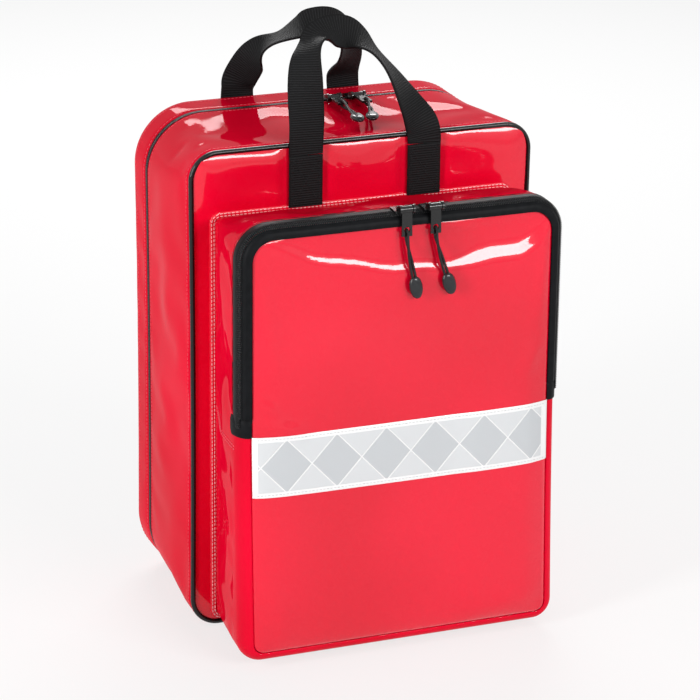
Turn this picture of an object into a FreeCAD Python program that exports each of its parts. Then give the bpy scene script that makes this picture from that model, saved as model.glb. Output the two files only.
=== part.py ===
"""Soft trauma backpack: a deep front lid zipped to a shallow back tray, with a zipped pocket on the lid.

Frame: +Z up, the front faces -Y, +X is to the right of someone facing the front. The pack stands on
Z = 0, and X = Y = 0 is the middle of its box. All sizes are in millimetres.
"""
import FreeCAD, Part
import math
import os

import Sketcher

SIZES = {
    # main compartment
    "body_width": 290.0,
    "body_height": 402.0,
    "lid_depth": 110.0,
    "tray_depth": 36.0,
    "shell_wall": 2.5,
    "zip_corner": 48.0,
    "panel_corner": 24.0,
    "piping_dia": 4.0,
    "board_thickness": 3.0,
    "board_margin": 12.0,
    "shelf_thickness": 5.0,
    "shelf_clearance": 0.6,
    # zips
    "zip_gap": 1.0,
    "zip_window": 4.4,
    "zip_tape_reach": 14.0,
    "zip_tape_thickness": 1.2,
    "coil_width": 3.0,
    "coil_height": 2.0,
    "hinge_strip_clearance": 0.3,
    # front pocket
    "pocket_side_margin": 14.0,
    "pocket_top_margin": 36.0,
    "pocket_level": 10.0,
    "pocket_depth": 88.0,
    "pocket_corner": 28.0,
    "pocket_base_side_margin": 22.0,
    "pocket_base_top_margin": 55.0,
    "pocket_base_level": 9.5,
    "pocket_base_corner": 22.0,
    "pocket_fabric": 1.2,
    "flange_width": 5.0,
    "flange_thickness": 2.0,
    "flange_clearance": 0.7,
    "pocket_rim": 6.0,
    "band_width": 8.0,
    "face_band": 7.0,
    "flap_level": 211.0,
    "flap_clearance": 0.3,
    "flap_play": 0.2,
    "reflective_height": 50.0,
    "reflective_level": 147.0,
    "reflective_thickness": 0.6,
    "end_tab_reach": 14.0,
    "end_tab_depth": 18.0,
    "end_tab_thickness": 1.5,
    # sliders and pulls
    "slider_length": 16.0,
    "slider_front": 6.5,
    "slider_back": 6.0,
    "plate_thickness": 1.4,
    "plate_clearance": 0.4,
    "web_thickness": 0.6,
    "web_inset": 2.0,
    "lower_plate_front": 3.2,
    "bar_reach": 9.5,
    "bar_height": 3.8,
    "bar_dia": 2.0,
    "eye_dia": 5.4,
    "eye_bore": 2.6,
    "lug_thickness": 1.7,
    "lug_clearance": 0.3,
    "lug_root": 3.0,
    "lug_crest": 1.6,
    "tab_width": 8.5,
    "tab_length": 21.5,
    "tab_thickness": 1.8,
    "tab_hole_dia": 5.0,
    "tab_hole_edge": 2.5,
    "pull_cord_dia": 2.2,
    "pull_cord_reach": 55.0,
    "pull_tip_middle": 8.3,
    "pull_tip_half_length": 9.5,
    "pull_tip_width": 10.5,
    "pull_tip_thickness": 6.5,
    "main_pull_rise": 0.8,
    "pocket_pull_stand_off": 3.0,
    "main_pull_sway_left": -3.0,
    "main_pull_sway_right": -9.5,
    "pocket_pull_sway_left": 6.0,
    "pocket_pull_sway_right": 9.0,
    "main_slider_left": 13.0,
    "main_slider_right": 34.0,
    "pocket_slider_left": 0.0,
    "pocket_slider_right": 24.0,
    # carrying handles
    "handle_width": 28.0,
    "handle_thickness": 1.8,
    "front_handle_span": 102.0,
    "front_handle_rise": 90.0,
    "front_handle_lean": 31.0,
    "front_handle_drop": 10.0,
    "rear_handle_span": 93.0,
    "rear_handle_rise": 74.0,
    "rear_handle_lean": 50.0,
    "rear_handle_drop": 6.0,
    "rear_handle_middle": -7.5,
    "rear_foot_height": 12.0,
    "fold_clearance": 0.5,
    "handle_clearance": 0.4,
    # back: padding, shoulder straps
    "back_pad_width": 78.0,
    "back_pad_height": 262.0,
    "back_pad_level": 62.0,
    "back_pad_gap": 34.0,
    "back_pad_thickness": 10.0,
    "lumbar_pad_width": 164.0,
    "lumbar_pad_height": 34.0,
    "lumbar_pad_level": 18.0,
    "anchor_thickness": 3.0,
    "yoke_width": 170.0,
    "yoke_height": 42.0,
    "yoke_level": 340.0,
    "anchor_tab_width": 34.0,
    "anchor_tab_height": 26.0,
    "anchor_roll_dia": 6.0,
    "anchor_roll_length": 16.0,
    "anchor_clearance": 0.3,
    "strap_top_side": 50.0,
    "strap_top_level": 366.0,
    "strap_foot_side": 108.0,
    "strap_foot_level": 32.0,
    "strap_stand_off": 50.0,
    "strap_width": 58.0,
    "strap_thickness": 11.0,
    "webbing_width": 25.0,
    "webbing_thickness": 1.8,
    "buckle_width": 34.0,
    "buckle_length": 26.0,
    "buckle_thickness": 6.0,
}

X_AXIS = FreeCAD.Vector(1, 0, 0)
Y_AXIS = FreeCAD.Vector(0, 1, 0)
Z_AXIS = FreeCAD.Vector(0, 0, 1)

doc = FreeCAD.newDocument("trauma_backpack")
sheet = doc.addObject("Spreadsheet::Sheet", "dims")
for row, (alias, number) in enumerate(SIZES.items(), start=1):
    sheet.set(f"A{row}", str(number))
    sheet.setAlias(f"A{row}", alias)
doc.recompute()

nodes = {}


class Length:
    """A size from the sheet, or a sum of such sizes: its value, and the expression that binds it."""

    def __init__(self, value, text):
        self.value = float(value)
        self.text = text

    def __add__(self, other):
        other = as_length(other)
        return Length(self.value + other.value, f"({self.text} + {other.text})")

    def __sub__(self, other):
        other = as_length(other)
        return Length(self.value - other.value, f"({self.text} - {other.text})")

    def __neg__(self):
        return Length(-self.value, f"(0 - {self.text})")

    def __mul__(self, factor):
        return Length(self.value * factor, f"({self.text} * {factor})")

    def __truediv__(self, divisor):
        return Length(self.value / divisor, f"({self.text} / {divisor})")


def as_length(value):
    """A Length stays as it is, and a plain number becomes one."""
    return value if isinstance(value, Length) else Length(value, f"({value})")


def cell(alias):
    """The size that the sheet holds under this name."""
    return Length(getattr(sheet, alias), f"dims.{alias}")


def bind(thing, prop, length):
    """Tie one property of a document object to the sheet."""
    thing.setExpression(prop, as_length(length).text)


def put(thing, x=0, y=0, z=0, turn=0.0):
    """Place an object: its spot is tied to the sheet, and turn is degrees about X."""
    spot = [as_length(value) for value in (x, y, z)]
    base = FreeCAD.Vector(*[length.value for length in spot])
    thing.Placement = FreeCAD.Placement(base, FreeCAD.Rotation(X_AXIS, turn))
    for letter, length in zip("xyz", spot):
        bind(thing, f"Placement.Base.{letter}", length)
    return thing


def keep(label, thing):
    """Make an object one of the sub-parts that are written out."""
    thing.Label = label
    nodes[label] = thing
    return thing


# Planes along Y, from the front panel backwards, about the middle of the pack's box.
half_width = cell("body_width") / 2
strap_crest = cell("strap_stand_off") + cell("strap_thickness") / 2
eye_front = cell("bar_reach") - cell("pocket_rim") + cell("eye_dia") / 2
back_reach = cell("lid_depth") + cell("tray_depth") + cell("anchor_thickness") + strap_crest
front_y = (cell("pocket_depth") + eye_front - back_reach) / 2
zip_y = front_y + cell("lid_depth")
back_y = zip_y + cell("tray_depth")
face_y = front_y - cell("pocket_depth")
pocket_zip_y = face_y + cell("pocket_rim")
middle_z = cell("body_height") / 2
pocket_width = cell("body_width") - cell("pocket_side_margin") * 2
pocket_top_z = cell("body_height") - cell("pocket_top_margin")
pocket_height = pocket_top_z - cell("pocket_level")
pocket_middle_z = cell("pocket_level") + pocket_height / 2
base_width = cell("body_width") - cell("pocket_base_side_margin") * 2
base_top_z = cell("body_height") - cell("pocket_base_top_margin")
base_height = base_top_z - cell("pocket_base_level")
base_middle_z = cell("pocket_base_level") + base_height / 2
handle_levels = {end: cell("body_height") - cell(f"{end}_handle_drop") for end in ("front", "rear")}
window = cell("zip_window") / 2
gap = cell("zip_gap") / 2


def new_body(label, y, z):
    """A PartDesign body whose origin is on the pack's middle plane."""
    return put(doc.addObject("PartDesign::Body", label), 0, y, z)


def new_sketch(body, role="XZ_Plane", offset=None):
    """A sketch on one of the body's own planes; on XZ an offset moves it to the front, along -Y."""
    sketch = body.newObject("Sketcher::SketchObject", body.Name + "_sketch")
    plane = [feature for feature in body.Origin.OriginFeatures if feature.Role == role][0]
    sketch.AttachmentSupport = [(plane, "")]
    sketch.MapMode = "FlatFace"
    if offset is not None:
        bind(sketch, "AttachmentOffset.Base.z", offset)
    return sketch


def dimension(sketch, kind, length, *geometry):
    """Add one sketch dimension that the sheet drives."""
    length = as_length(length)
    index = sketch.addConstraint(Sketcher.Constraint(kind, *geometry, length.value))
    name = f"size_{index}"
    sketch.renameConstraint(index, name)
    bind(sketch, f"Constraints.{name}", length)


def rounded_outline(sketch, width, height, radius):
    """Add a rounded rectangle about the sketch's origin, fully constrained."""
    half_w = width.value / 2
    half_h = height.value / 2
    bend = radius.value
    point = FreeCAD.Vector
    first = sketch.GeometryCount
    corners = [(1, 1), (-1, 1), (-1, -1), (1, -1)]
    sides = [
        (point(half_w, bend - half_h, 0), point(half_w, half_h - bend, 0)),
        (point(half_w - bend, half_h, 0), point(bend - half_w, half_h, 0)),
        (point(-half_w, half_h - bend, 0), point(-half_w, bend - half_h, 0)),
        (point(bend - half_w, -half_h, 0), point(half_w - bend, -half_h, 0)),
    ]
    for start, end in sides:
        sketch.addGeometry(Part.LineSegment(start, end), False)
    for quarter, (side_x, side_y) in enumerate(corners):
        centre = point(side_x * (half_w - bend), side_y * (half_h - bend), 0)
        circle = Part.Circle(centre, Z_AXIS, bend)
        arc = Part.ArcOfCircle(circle, quarter * math.pi / 2, (quarter + 1) * math.pi / 2)
        sketch.addGeometry(arc, False)
    for side in range(4):
        line, arc = first + side, first + 4 + side
        following = first + (side + 1) % 4
        sketch.addConstraint(Sketcher.Constraint("Tangent", line, 2, arc, 1))
        sketch.addConstraint(Sketcher.Constraint("Tangent", arc, 2, following, 1))
        kind = "Vertical" if side % 2 == 0 else "Horizontal"
        sketch.addConstraint(Sketcher.Constraint(kind, line))
    for arc in range(first + 5, first + 8):
        sketch.addConstraint(Sketcher.Constraint("Equal", first + 4, arc))
    dimension(sketch, "Radius", radius, first + 4)
    dimension(sketch, "DistanceX", width / 2, -1, 1, first, 1)
    dimension(sketch, "DistanceX", width / 2, first + 2, 1, -1, 1)
    dimension(sketch, "DistanceY", height / 2, -1, 1, first + 1, 1)
    dimension(sketch, "DistanceY", height / 2, first + 3, 1, -1, 1)


def pad(body, sketch, length):
    """Extrude a sketch towards the front."""
    feature = body.newObject("PartDesign::Pad", body.Name + "_pad")
    feature.Profile = sketch
    bind(feature, "Length", length)
    sketch.Visibility = False
    return feature


def add_slab(body, outline, length, inset=None, offset=None):
    """Pad a rounded rectangle, or with an inset only its rim, towards the front."""
    width, height, radius = outline
    sketch = new_sketch(body, offset=offset)
    rounded_outline(sketch, width, height, radius)
    if inset is not None:
        rounded_outline(sketch, *shrunk(outline, inset))
    return pad(body, sketch, length)


def shrunk(outline, inset):
    """The same rounded rectangle, moved inwards by inset all round."""
    width, height, radius = outline
    return width - as_length(inset) * 2, height - as_length(inset) * 2, radius - inset


def box(x_low, x_high, y_low, y_high, z_low, z_high):
    """A Part box between six planes."""
    solid = doc.addObject("Part::Box", "box")
    x_low, y_low, z_low = as_length(x_low), as_length(y_low), as_length(z_low)
    bind(solid, "Length", as_length(x_high) - x_low)
    bind(solid, "Width", as_length(y_high) - y_low)
    bind(solid, "Height", as_length(z_high) - z_low)
    return put(solid, x_low, y_low, z_low)


def rod(dia, x_low, x_high, y, z):
    """A Part cylinder along X."""
    solid = doc.addObject("Part::Cylinder", "rod")
    bind(solid, "Radius", dia / 2)
    bind(solid, "Height", as_length(x_high) - x_low)
    put(solid, x_low, y, z)
    solid.Placement = FreeCAD.Placement(solid.Placement.Base, FreeCAD.Rotation(Y_AXIS, 90))
    return solid


def fuse(*solids):
    """One solid of several."""
    joined = doc.addObject("Part::MultiFuse", "joined")
    joined.Shapes = list(solids)
    joined.Refine = True
    return joined


def cut(base, tool):
    """The base without the tool."""
    rest = doc.addObject("Part::Cut", "rest")
    rest.Base = base
    rest.Tool = tool
    return rest


def ordered(first, second):
    """Two lengths, the lower one first."""
    return (first, second) if first.value < second.value else (second, first)


def slice_between(solid, z_low, z_high):
    """The part of a solid between two heights."""
    everywhere = cell("body_width")
    slab = box(-everywhere, everywhere, face_y - everywhere, back_y + everywhere, z_low, z_high)
    common = doc.addObject("Part::Common", "slice")
    common.Base = solid
    common.Tool = slab
    return common


def lofted_tube(label, rear, front, depth, wall, y, z):
    """A tube between two rounded rectangles; each is (width, height, radius, rise of its middle)."""
    body = new_body(label, y, z)
    for kind, inset in (("PartDesign::AdditiveLoft", None), ("PartDesign::SubtractiveLoft", wall)):
        sketches = []
        for end, offset in ((rear, as_length(0)), (front, depth)):
            outline = end[:3] if inset is None else shrunk(end[:3], inset)
            sketch = new_sketch(body, offset=offset)
            bind(sketch, "AttachmentOffset.Base.y", end[3])
            rounded_outline(sketch, *outline)
            sketches.append(sketch)
        loft = body.newObject(kind, body.Name + "_loft")
        loft.Profile = sketches[0]
        loft.Sections = [sketches[1]]
        loft.Ruled = True
    return body


# Outlines that several pieces share, as (width, height, corner radius).
zip_outline = (cell("body_width"), cell("body_height"), cell("zip_corner"))
panel_outline = (cell("body_width"), cell("body_height"), cell("panel_corner"))
pocket_outline = (pocket_width, pocket_height, cell("pocket_corner"))
base_outline = (base_width, base_height, cell("pocket_base_corner"))


def shells():
    """Back tray, and the lid's gusset, front panel and piping."""
    wall = cell("shell_wall")
    tray = new_body("rear_shell", back_y, middle_z)
    add_slab(tray, zip_outline, wall)
    add_slab(tray, zip_outline, cell("tray_depth") - window, inset=wall)
    keep("rear_shell", tray)

    piping = cell("piping_dia")
    depth = cell("lid_depth") - window - piping
    gusset = lofted_tube("front_gusset", (*zip_outline, as_length(0)), (*panel_outline, as_length(0)),
                         depth, wall, zip_y - window, middle_z)
    keep("front_gusset", gusset)

    panel = new_body("front_panel", front_y + piping, middle_z)
    add_slab(panel, shrunk(panel_outline, piping), wall)
    keep("front_panel", panel)

    cord = new_body("front_piping", front_y + piping / 2, middle_z)
    spine = new_sketch(cord)
    rounded_outline(spine, *shrunk(panel_outline, piping / 2))
    section = new_sketch(cord, "XY_Plane")
    side = half_width.value - piping.value / 2
    section.addGeometry(Part.Circle(FreeCAD.Vector(side, 0, 0), Z_AXIS, piping.value / 2), False)
    section.addConstraint(Sketcher.Constraint("PointOnObject", 0, 3, -1))
    dimension(section, "Radius", piping / 2, 0)
    dimension(section, "DistanceX", half_width - piping / 2, -1, 1, 0, 3)
    pipe = cord.newObject("PartDesign::AdditivePipe", "front_piping_pipe")
    pipe.Profile = section
    pipe.Spine = spine
    keep("front_piping", cord)


def boards_and_shelves():
    """Stiff boards inside both panels, and two shelves that divide the lid."""
    wall = cell("shell_wall")
    board = cell("board_thickness")
    inset = wall + cell("board_margin")
    back = new_body("back_board", back_y - wall, middle_z)
    add_slab(back, shrunk(zip_outline, inset), board)
    keep("back_board", back)
    front = new_body("front_board", front_y + cell("piping_dia") + board, middle_z)
    add_slab(front, shrunk(panel_outline, cell("piping_dia") + cell("board_margin")), board)
    keep("front_board", front)
    reach = half_width - wall - cell("shelf_clearance")
    front_face = front_y + cell("piping_dia") + board
    rear_face = zip_y - cell("zip_tape_reach")
    for index, label in enumerate(("shelf_lower", "shelf_upper"), start=1):
        level = cell("body_height") * index / 3
        shelf = box(-reach, reach, front_face, rear_face, level, level + cell("shelf_thickness"))
        keep(label, shelf)


def main_stringers():
    """Zip tape and coil of the tray and of the lid, open along the bottom where the fabric hinges."""
    recess = cell("shell_wall")
    tape = cell("zip_tape_thickness")
    tape_outline = shrunk(zip_outline, recess)
    coil_outline = shrunk(zip_outline, recess + tape)
    flat = half_width - cell("zip_corner")
    reach = cell("zip_tape_reach")
    coil = cell("coil_width")
    coil_height = cell("coil_height")
    rows = (
        ("rear_zip_tape", tape_outline, tape, zip_y + reach, reach - gap),
        ("rear_zip_coil", coil_outline, coil_height, zip_y + gap + coil, coil),
        ("front_zip_tape", tape_outline, tape, zip_y - gap, reach - gap),
        ("front_zip_coil", coil_outline, coil_height, zip_y - gap, coil),
    )
    for label, outline, thickness, rear_face, depth in rows:
        ring = new_body(label + "_ring", rear_face, middle_z)
        add_slab(ring, outline, depth, inset=thickness)
        mouth = box(-flat, flat, zip_y - reach * 2, zip_y + reach * 2, 0, cell("zip_corner"))
        keep(label, cut(ring, mouth))
    clearance = cell("hinge_strip_clearance")
    strip = box(-flat, flat, zip_y - window + clearance, zip_y + window, 0, recess)
    keep("bottom_hinge_strip", strip)


def pocket():
    """Pocket on the lid: flared gusset, sewn flange, lower face, opening flap and its zip."""
    fabric = cell("pocket_fabric")
    rim = cell("pocket_rim")
    band = cell("band_width")
    depth = cell("pocket_depth") - rim - band
    rear = (*base_outline, base_middle_z - pocket_middle_z)
    front = (*pocket_outline, as_length(0))
    wall_front = front_y + cell("piping_dia") - cell("shell_wall")
    tube = lofted_tube("pocket_gusset", rear, front, depth + cell("piping_dia") - cell("shell_wall"),
                       fabric, wall_front, pocket_middle_z)
    keep("pocket_gusset", tube)

    flange = new_body("pocket_flange", wall_front, base_middle_z)
    wide = shrunk(base_outline, -cell("flange_width"))
    seam = cell("flange_width") - cell("flange_clearance")
    add_slab(flange, wide, cell("flange_thickness"), inset=seam)
    keep("pocket_flange", flange)

    level = cell("flap_level")
    low_rim = new_body("pocket_face_blank", face_y + rim + band, pocket_middle_z)
    add_slab(low_rim, pocket_outline, rim + band, inset=fabric)
    add_slab(low_rim, pocket_outline, fabric, offset=rim + band - fabric)
    keep("pocket_face", slice_between(low_rim, 0, level))

    flap = new_body("pocket_flap_blank", face_y + fabric * 2, pocket_middle_z)
    add_slab(flap, shrunk(pocket_outline, fabric + cell("coil_height") + cell("flap_play")), fabric)
    low = level + cell("flap_clearance")
    high = pocket_top_z + cell("slider_length")
    keep("pocket_flap", slice_between(flap, low, high))

    inner = new_body("pocket_zip_tape_inner_blank", face_y + rim - gap, pocket_middle_z)
    add_slab(inner, pocket_outline, rim - gap, inset=fabric)
    add_slab(inner, pocket_outline, fabric, inset=cell("face_band"), offset=rim - gap - fabric)
    keep("pocket_zip_tape_inner", slice_between(inner, low, high))

    outer = new_body("pocket_zip_tape_outer_blank", face_y + rim + band, pocket_middle_z)
    add_slab(outer, pocket_outline, band - gap, inset=fabric)
    keep("pocket_zip_tape_outer", slice_between(outer, level, high))

    coil = cell("coil_width")
    coil_outline = shrunk(pocket_outline, fabric)
    rows = (
        ("pocket_zip_coil_inner", pocket_zip_y - gap, low),
        ("pocket_zip_coil_outer", pocket_zip_y + gap + coil, level),
    )
    for label, rear_face, bottom in rows:
        ring = new_body(label + "_blank", rear_face, pocket_middle_z)
        add_slab(ring, coil_outline, coil, inset=cell("coil_height"))
        keep(label, slice_between(ring, bottom, high))


def pocket_trim():
    """Reflective tape across the lower face, and the folded tabs at the zip's two ends."""
    side = pocket_width / 2
    level = cell("reflective_level")
    thick = cell("reflective_thickness")
    reach = side - cell("pocket_rim")
    strip = box(-reach, reach, face_y - thick, face_y, level, level + cell("reflective_height"))
    keep("reflective_tape", strip)
    low = level + cell("reflective_height") + cell("flap_clearance")
    high = cell("flap_level") - cell("flap_clearance")
    tab = cell("end_tab_thickness")
    for label, sign in (("zip_end_tab_left", -1), ("zip_end_tab_right", 1)):
        outer = (side + tab) * sign
        wing = box(*ordered(side * sign, outer), face_y, face_y + cell("end_tab_depth"), low, high)
        inner = (side - cell("end_tab_reach")) * sign
        front = box(*ordered(inner, outer), face_y - tab, face_y, low, high)
        keep(label, fuse(wing, front))


def slider(label, x, y, surface, under):
    """Zip slider: plates above and below the chain, a thin web between, lugs and a bar for the pull.

    y and surface are the chain's middle and the fabric's outer face; under is the depth that the
    fabric, tape and coil take below that face.
    """
    half = cell("slider_length") / 2
    play = cell("plate_clearance")
    plate = cell("plate_thickness")
    web = cell("web_thickness") / 2
    lug_inner = cell("tab_width") / 2 + cell("lug_clearance")
    lug_outer = lug_inner + cell("lug_thickness")
    reach = cell("bar_reach")
    top = (play, play + plate)
    bottom = (-under - play - plate, -under - play)
    pieces = [
        box(-half, half, -cell("slider_front"), cell("slider_back"), *top),
        box(-half, half, -cell("lower_plate_front"), cell("slider_back"), *bottom),
        box(-half + cell("web_inset"), half - cell("web_inset"), -web, web, bottom[0], top[1]),
        rod(cell("bar_dia"), -lug_outer, lug_outer, -reach, cell("bar_height")),
    ]
    for side in (-1, 1):
        x_low, x_high = ordered(lug_inner * side, lug_outer * side)
        pieces.append(rod(cell("bar_height") * 2 - play * 2, x_low, x_high, -reach, cell("bar_height")))
        root = -cell("slider_front") + cell("lug_root")
        crest = cell("bar_height") + cell("lug_crest")
        pieces.append(box(x_low, x_high, -reach, root, play, crest))
    keep(label, put(fuse(*pieces), x, y, surface))


def pull_tab(label, x, y, z, turn):
    """Flat tab whose eye turns on the slider's bar, with a hole for the cord at its far end."""
    half = cell("tab_width") / 2
    thick = cell("tab_thickness") / 2
    hole_middle = cell("tab_length") - cell("tab_hole_edge") - cell("tab_hole_dia") / 2
    blade = box(-half, half, -cell("tab_length"), 0, -thick, thick)
    eye = rod(cell("eye_dia"), -half, half, 0, 0)
    bore = rod(cell("eye_bore"), -half - 1, half + 1, 0, 0)
    hole = doc.addObject("Part::Cylinder", "hole")
    bind(hole, "Radius", cell("tab_hole_dia") / 2)
    bind(hole, "Height", cell("tab_thickness") * 3)
    put(hole, 0, -hole_middle, -cell("tab_thickness") * 1.5)
    keep(label, put(cut(cut(fuse(blade, eye), bore), hole), x, y, z, turn))


def rounded_path(points):
    """A wire of straight runs joined by arcs, each as large as its two runs allow."""
    edges = []
    radii = []
    start = points[0]
    for before, corner, after in zip(points, points[1:], points[2:]):
        inward = before - corner
        outward = after - corner
        setback = 0.45 * min(inward.Length, outward.Length)
        turn = math.pi - inward.getAngle(outward)
        radii.append(setback / math.tan(turn / 2))
        inward.normalize()
        outward.normalize()
        entry = corner + inward * setback
        leave = corner + outward * setback
        bisector = inward + outward
        bisector.normalize()
        dip = radii[-1] * (1 / math.cos(turn / 2) - 1)
        edges.append(Part.LineSegment(start, entry).toShape())
        edges.append(Part.Arc(entry, corner + bisector * dip, leave).toShape())
        start = leave
    edges.append(Part.LineSegment(start, points[-1]).toShape())
    return Part.Wire(edges), radii


# The pull's cord: its straight stretch above the tip in mm, and that stretch's share of the sway.
TIP_RUN = 7.5
TIP_SWAY = 0.26


def pull_yaw(sway):
    """How far the pull's far end is turned sideways, in radians."""
    return math.atan2(sway * TIP_SWAY, TIP_RUN)


def pull_cord(label, x, y, z, turn, sway):
    """Cord doubled through the tab's hole: both strands end side by side in the pull's tip."""
    dia = cell("pull_cord_dia").value
    tip = -cell("pull_cord_reach").value
    hole = cell("tab_hole_edge").value + cell("tab_hole_dia").value / 2 - cell("tab_length").value
    # (across, along, lift, share of the sway)
    strand = [
        (-1.25, tip, 0.0, 1.0),
        (-1.20, tip + TIP_RUN, 0.1, 1 - TIP_SWAY),
        (-1.10, tip + 15.0, 0.7, 0.48),
        (-0.75, tip + 21.5, 1.6, 0.27),
        (-0.30, tip + 27.5, 2.25, 0.10),
        (0.0, hole - 6.0, 2.6, 0.0),
        (0.0, hole + 0.1, 2.45, 0.0),
    ]
    points = []
    yaw = pull_yaw(sway)
    for way, ordered in ((1, strand), (-1, reversed(strand))):
        for side, along, lift, share in ordered:
            across = side * way
            forward = along + across * math.sin(yaw) * share
            points.append(FreeCAD.Vector(across + sway * share, forward, lift * way))
    path, radii = rounded_path(points)
    ring = Part.Wire(Part.makeCircle(dia / 2, points[0], points[1] - points[0]))
    tube = path.makePipeShell([ring], True, True)
    volume = math.pi * dia * dia / 4 * path.Length
    print(label, "length", round(path.Length, 1), "radii", [round(radius, 1) for radius in radii],
          "volume ratio", round(tube.Volume / volume, 4))
    feature = doc.addObject("Part::Feature", label)
    feature.Shape = tube
    keep(label, put(feature, x, y, z, turn))


def pull_tip(label, x, y, z, turn, sway):
    """Oval grip at the end of the cord, flat where the two strands go in."""
    length = cell("pull_tip_half_length")
    start = cell("pull_cord_reach")
    egg = doc.addObject("Part::Ellipsoid", "egg")
    bind(egg, "Radius1", cell("pull_tip_thickness") / 2)
    bind(egg, "Radius2", cell("pull_tip_width") / 2)
    bind(egg, "Radius3", length)
    put(egg, 0, -cell("pull_tip_middle"), 0)
    side = cell("pull_tip_width")
    grip = cut(egg, box(-side, side, 0, length, -side, side))
    yaw = FreeCAD.Rotation(Z_AXIS, math.degrees(pull_yaw(sway)))
    grip.Placement = FreeCAD.Placement(FreeCAD.Vector(sway, -start.value, 0), yaw)
    carrier = doc.addObject("Part::Compound", "carrier")
    carrier.Links = [grip]
    keep(label, put(carrier, x, y, z, turn))


def sliders_and_pulls():
    """Two sliders on the main zip and two on the pocket's zip, each with its pull."""
    tape = cell("zip_tape_thickness")
    main_under = cell("shell_wall") + tape + cell("coil_height")
    pocket_under = cell("pocket_fabric") + cell("coil_height")
    tip_middle = cell("pull_cord_reach").value + cell("pull_tip_middle").value
    rise = math.degrees(math.asin(cell("main_pull_rise").value / tip_middle))
    stand_off = math.degrees(math.asin(cell("pocket_pull_stand_off").value / tip_middle))
    places = (
        ("main", "left", zip_y, cell("body_height"), main_under, -rise),
        ("main", "right", zip_y, cell("body_height"), main_under, -rise),
        ("pocket", "left", pocket_zip_y, pocket_top_z, pocket_under, 90 - stand_off),
        ("pocket", "right", pocket_zip_y, pocket_top_z, pocket_under, 90 - stand_off),
    )
    for zip_name, side, y, surface, under, turn in places:
        x = cell(f"{zip_name}_slider_{side}")
        slider(f"{zip_name}_slider_{side}", x, y, surface, under)
        bar = (x, y - cell("bar_reach"), surface + cell("bar_height"), turn)
        pull_tab(f"{zip_name}_pull_tab_{side}", *bar)
        sway = cell(f"{zip_name}_pull_sway_{side}").value
        pull_cord(f"{zip_name}_pull_cord_{side}", *bar, sway)
        pull_tip(f"{zip_name}_pull_tip_{side}", *bar, sway)


def ribbon(stations, width, thickness):
    """A strap of rectangular section: each station is its middle and the way its width points."""
    middles = [middle for middle, way in stations]
    sections = []
    for index, (middle, way) in enumerate(stations):
        along = middles[min(index + 1, len(middles) - 1)] - middles[max(index - 1, 0)]
        along.normalize()
        across = way - along * way.dot(along)
        across.normalize()
        half_w = across * (width / 2)
        half_t = along.cross(across) * (thickness / 2)
        sections.append([middle - half_w - half_t, middle + half_w - half_t,
                         middle + half_w + half_t, middle - half_w + half_t])
    faces = []
    for near, far in zip(sections, sections[1:]):
        for side in range(4):
            after = (side + 1) % 4
            for corners in ((near[side], near[after], far[after]), (near[side], far[after], far[side])):
                faces.append(Part.Face(Part.makePolygon([*corners, corners[0]])))
    for cap in (sections[0], sections[-1]):
        faces.append(Part.Face(Part.makePolygon([*cap, cap[0]])))
    shell = Part.makeShell(faces)
    shell.sewShape()
    solid = Part.makeSolid(shell)
    if solid.Volume < 0:
        solid.reverse()
    return solid


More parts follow.
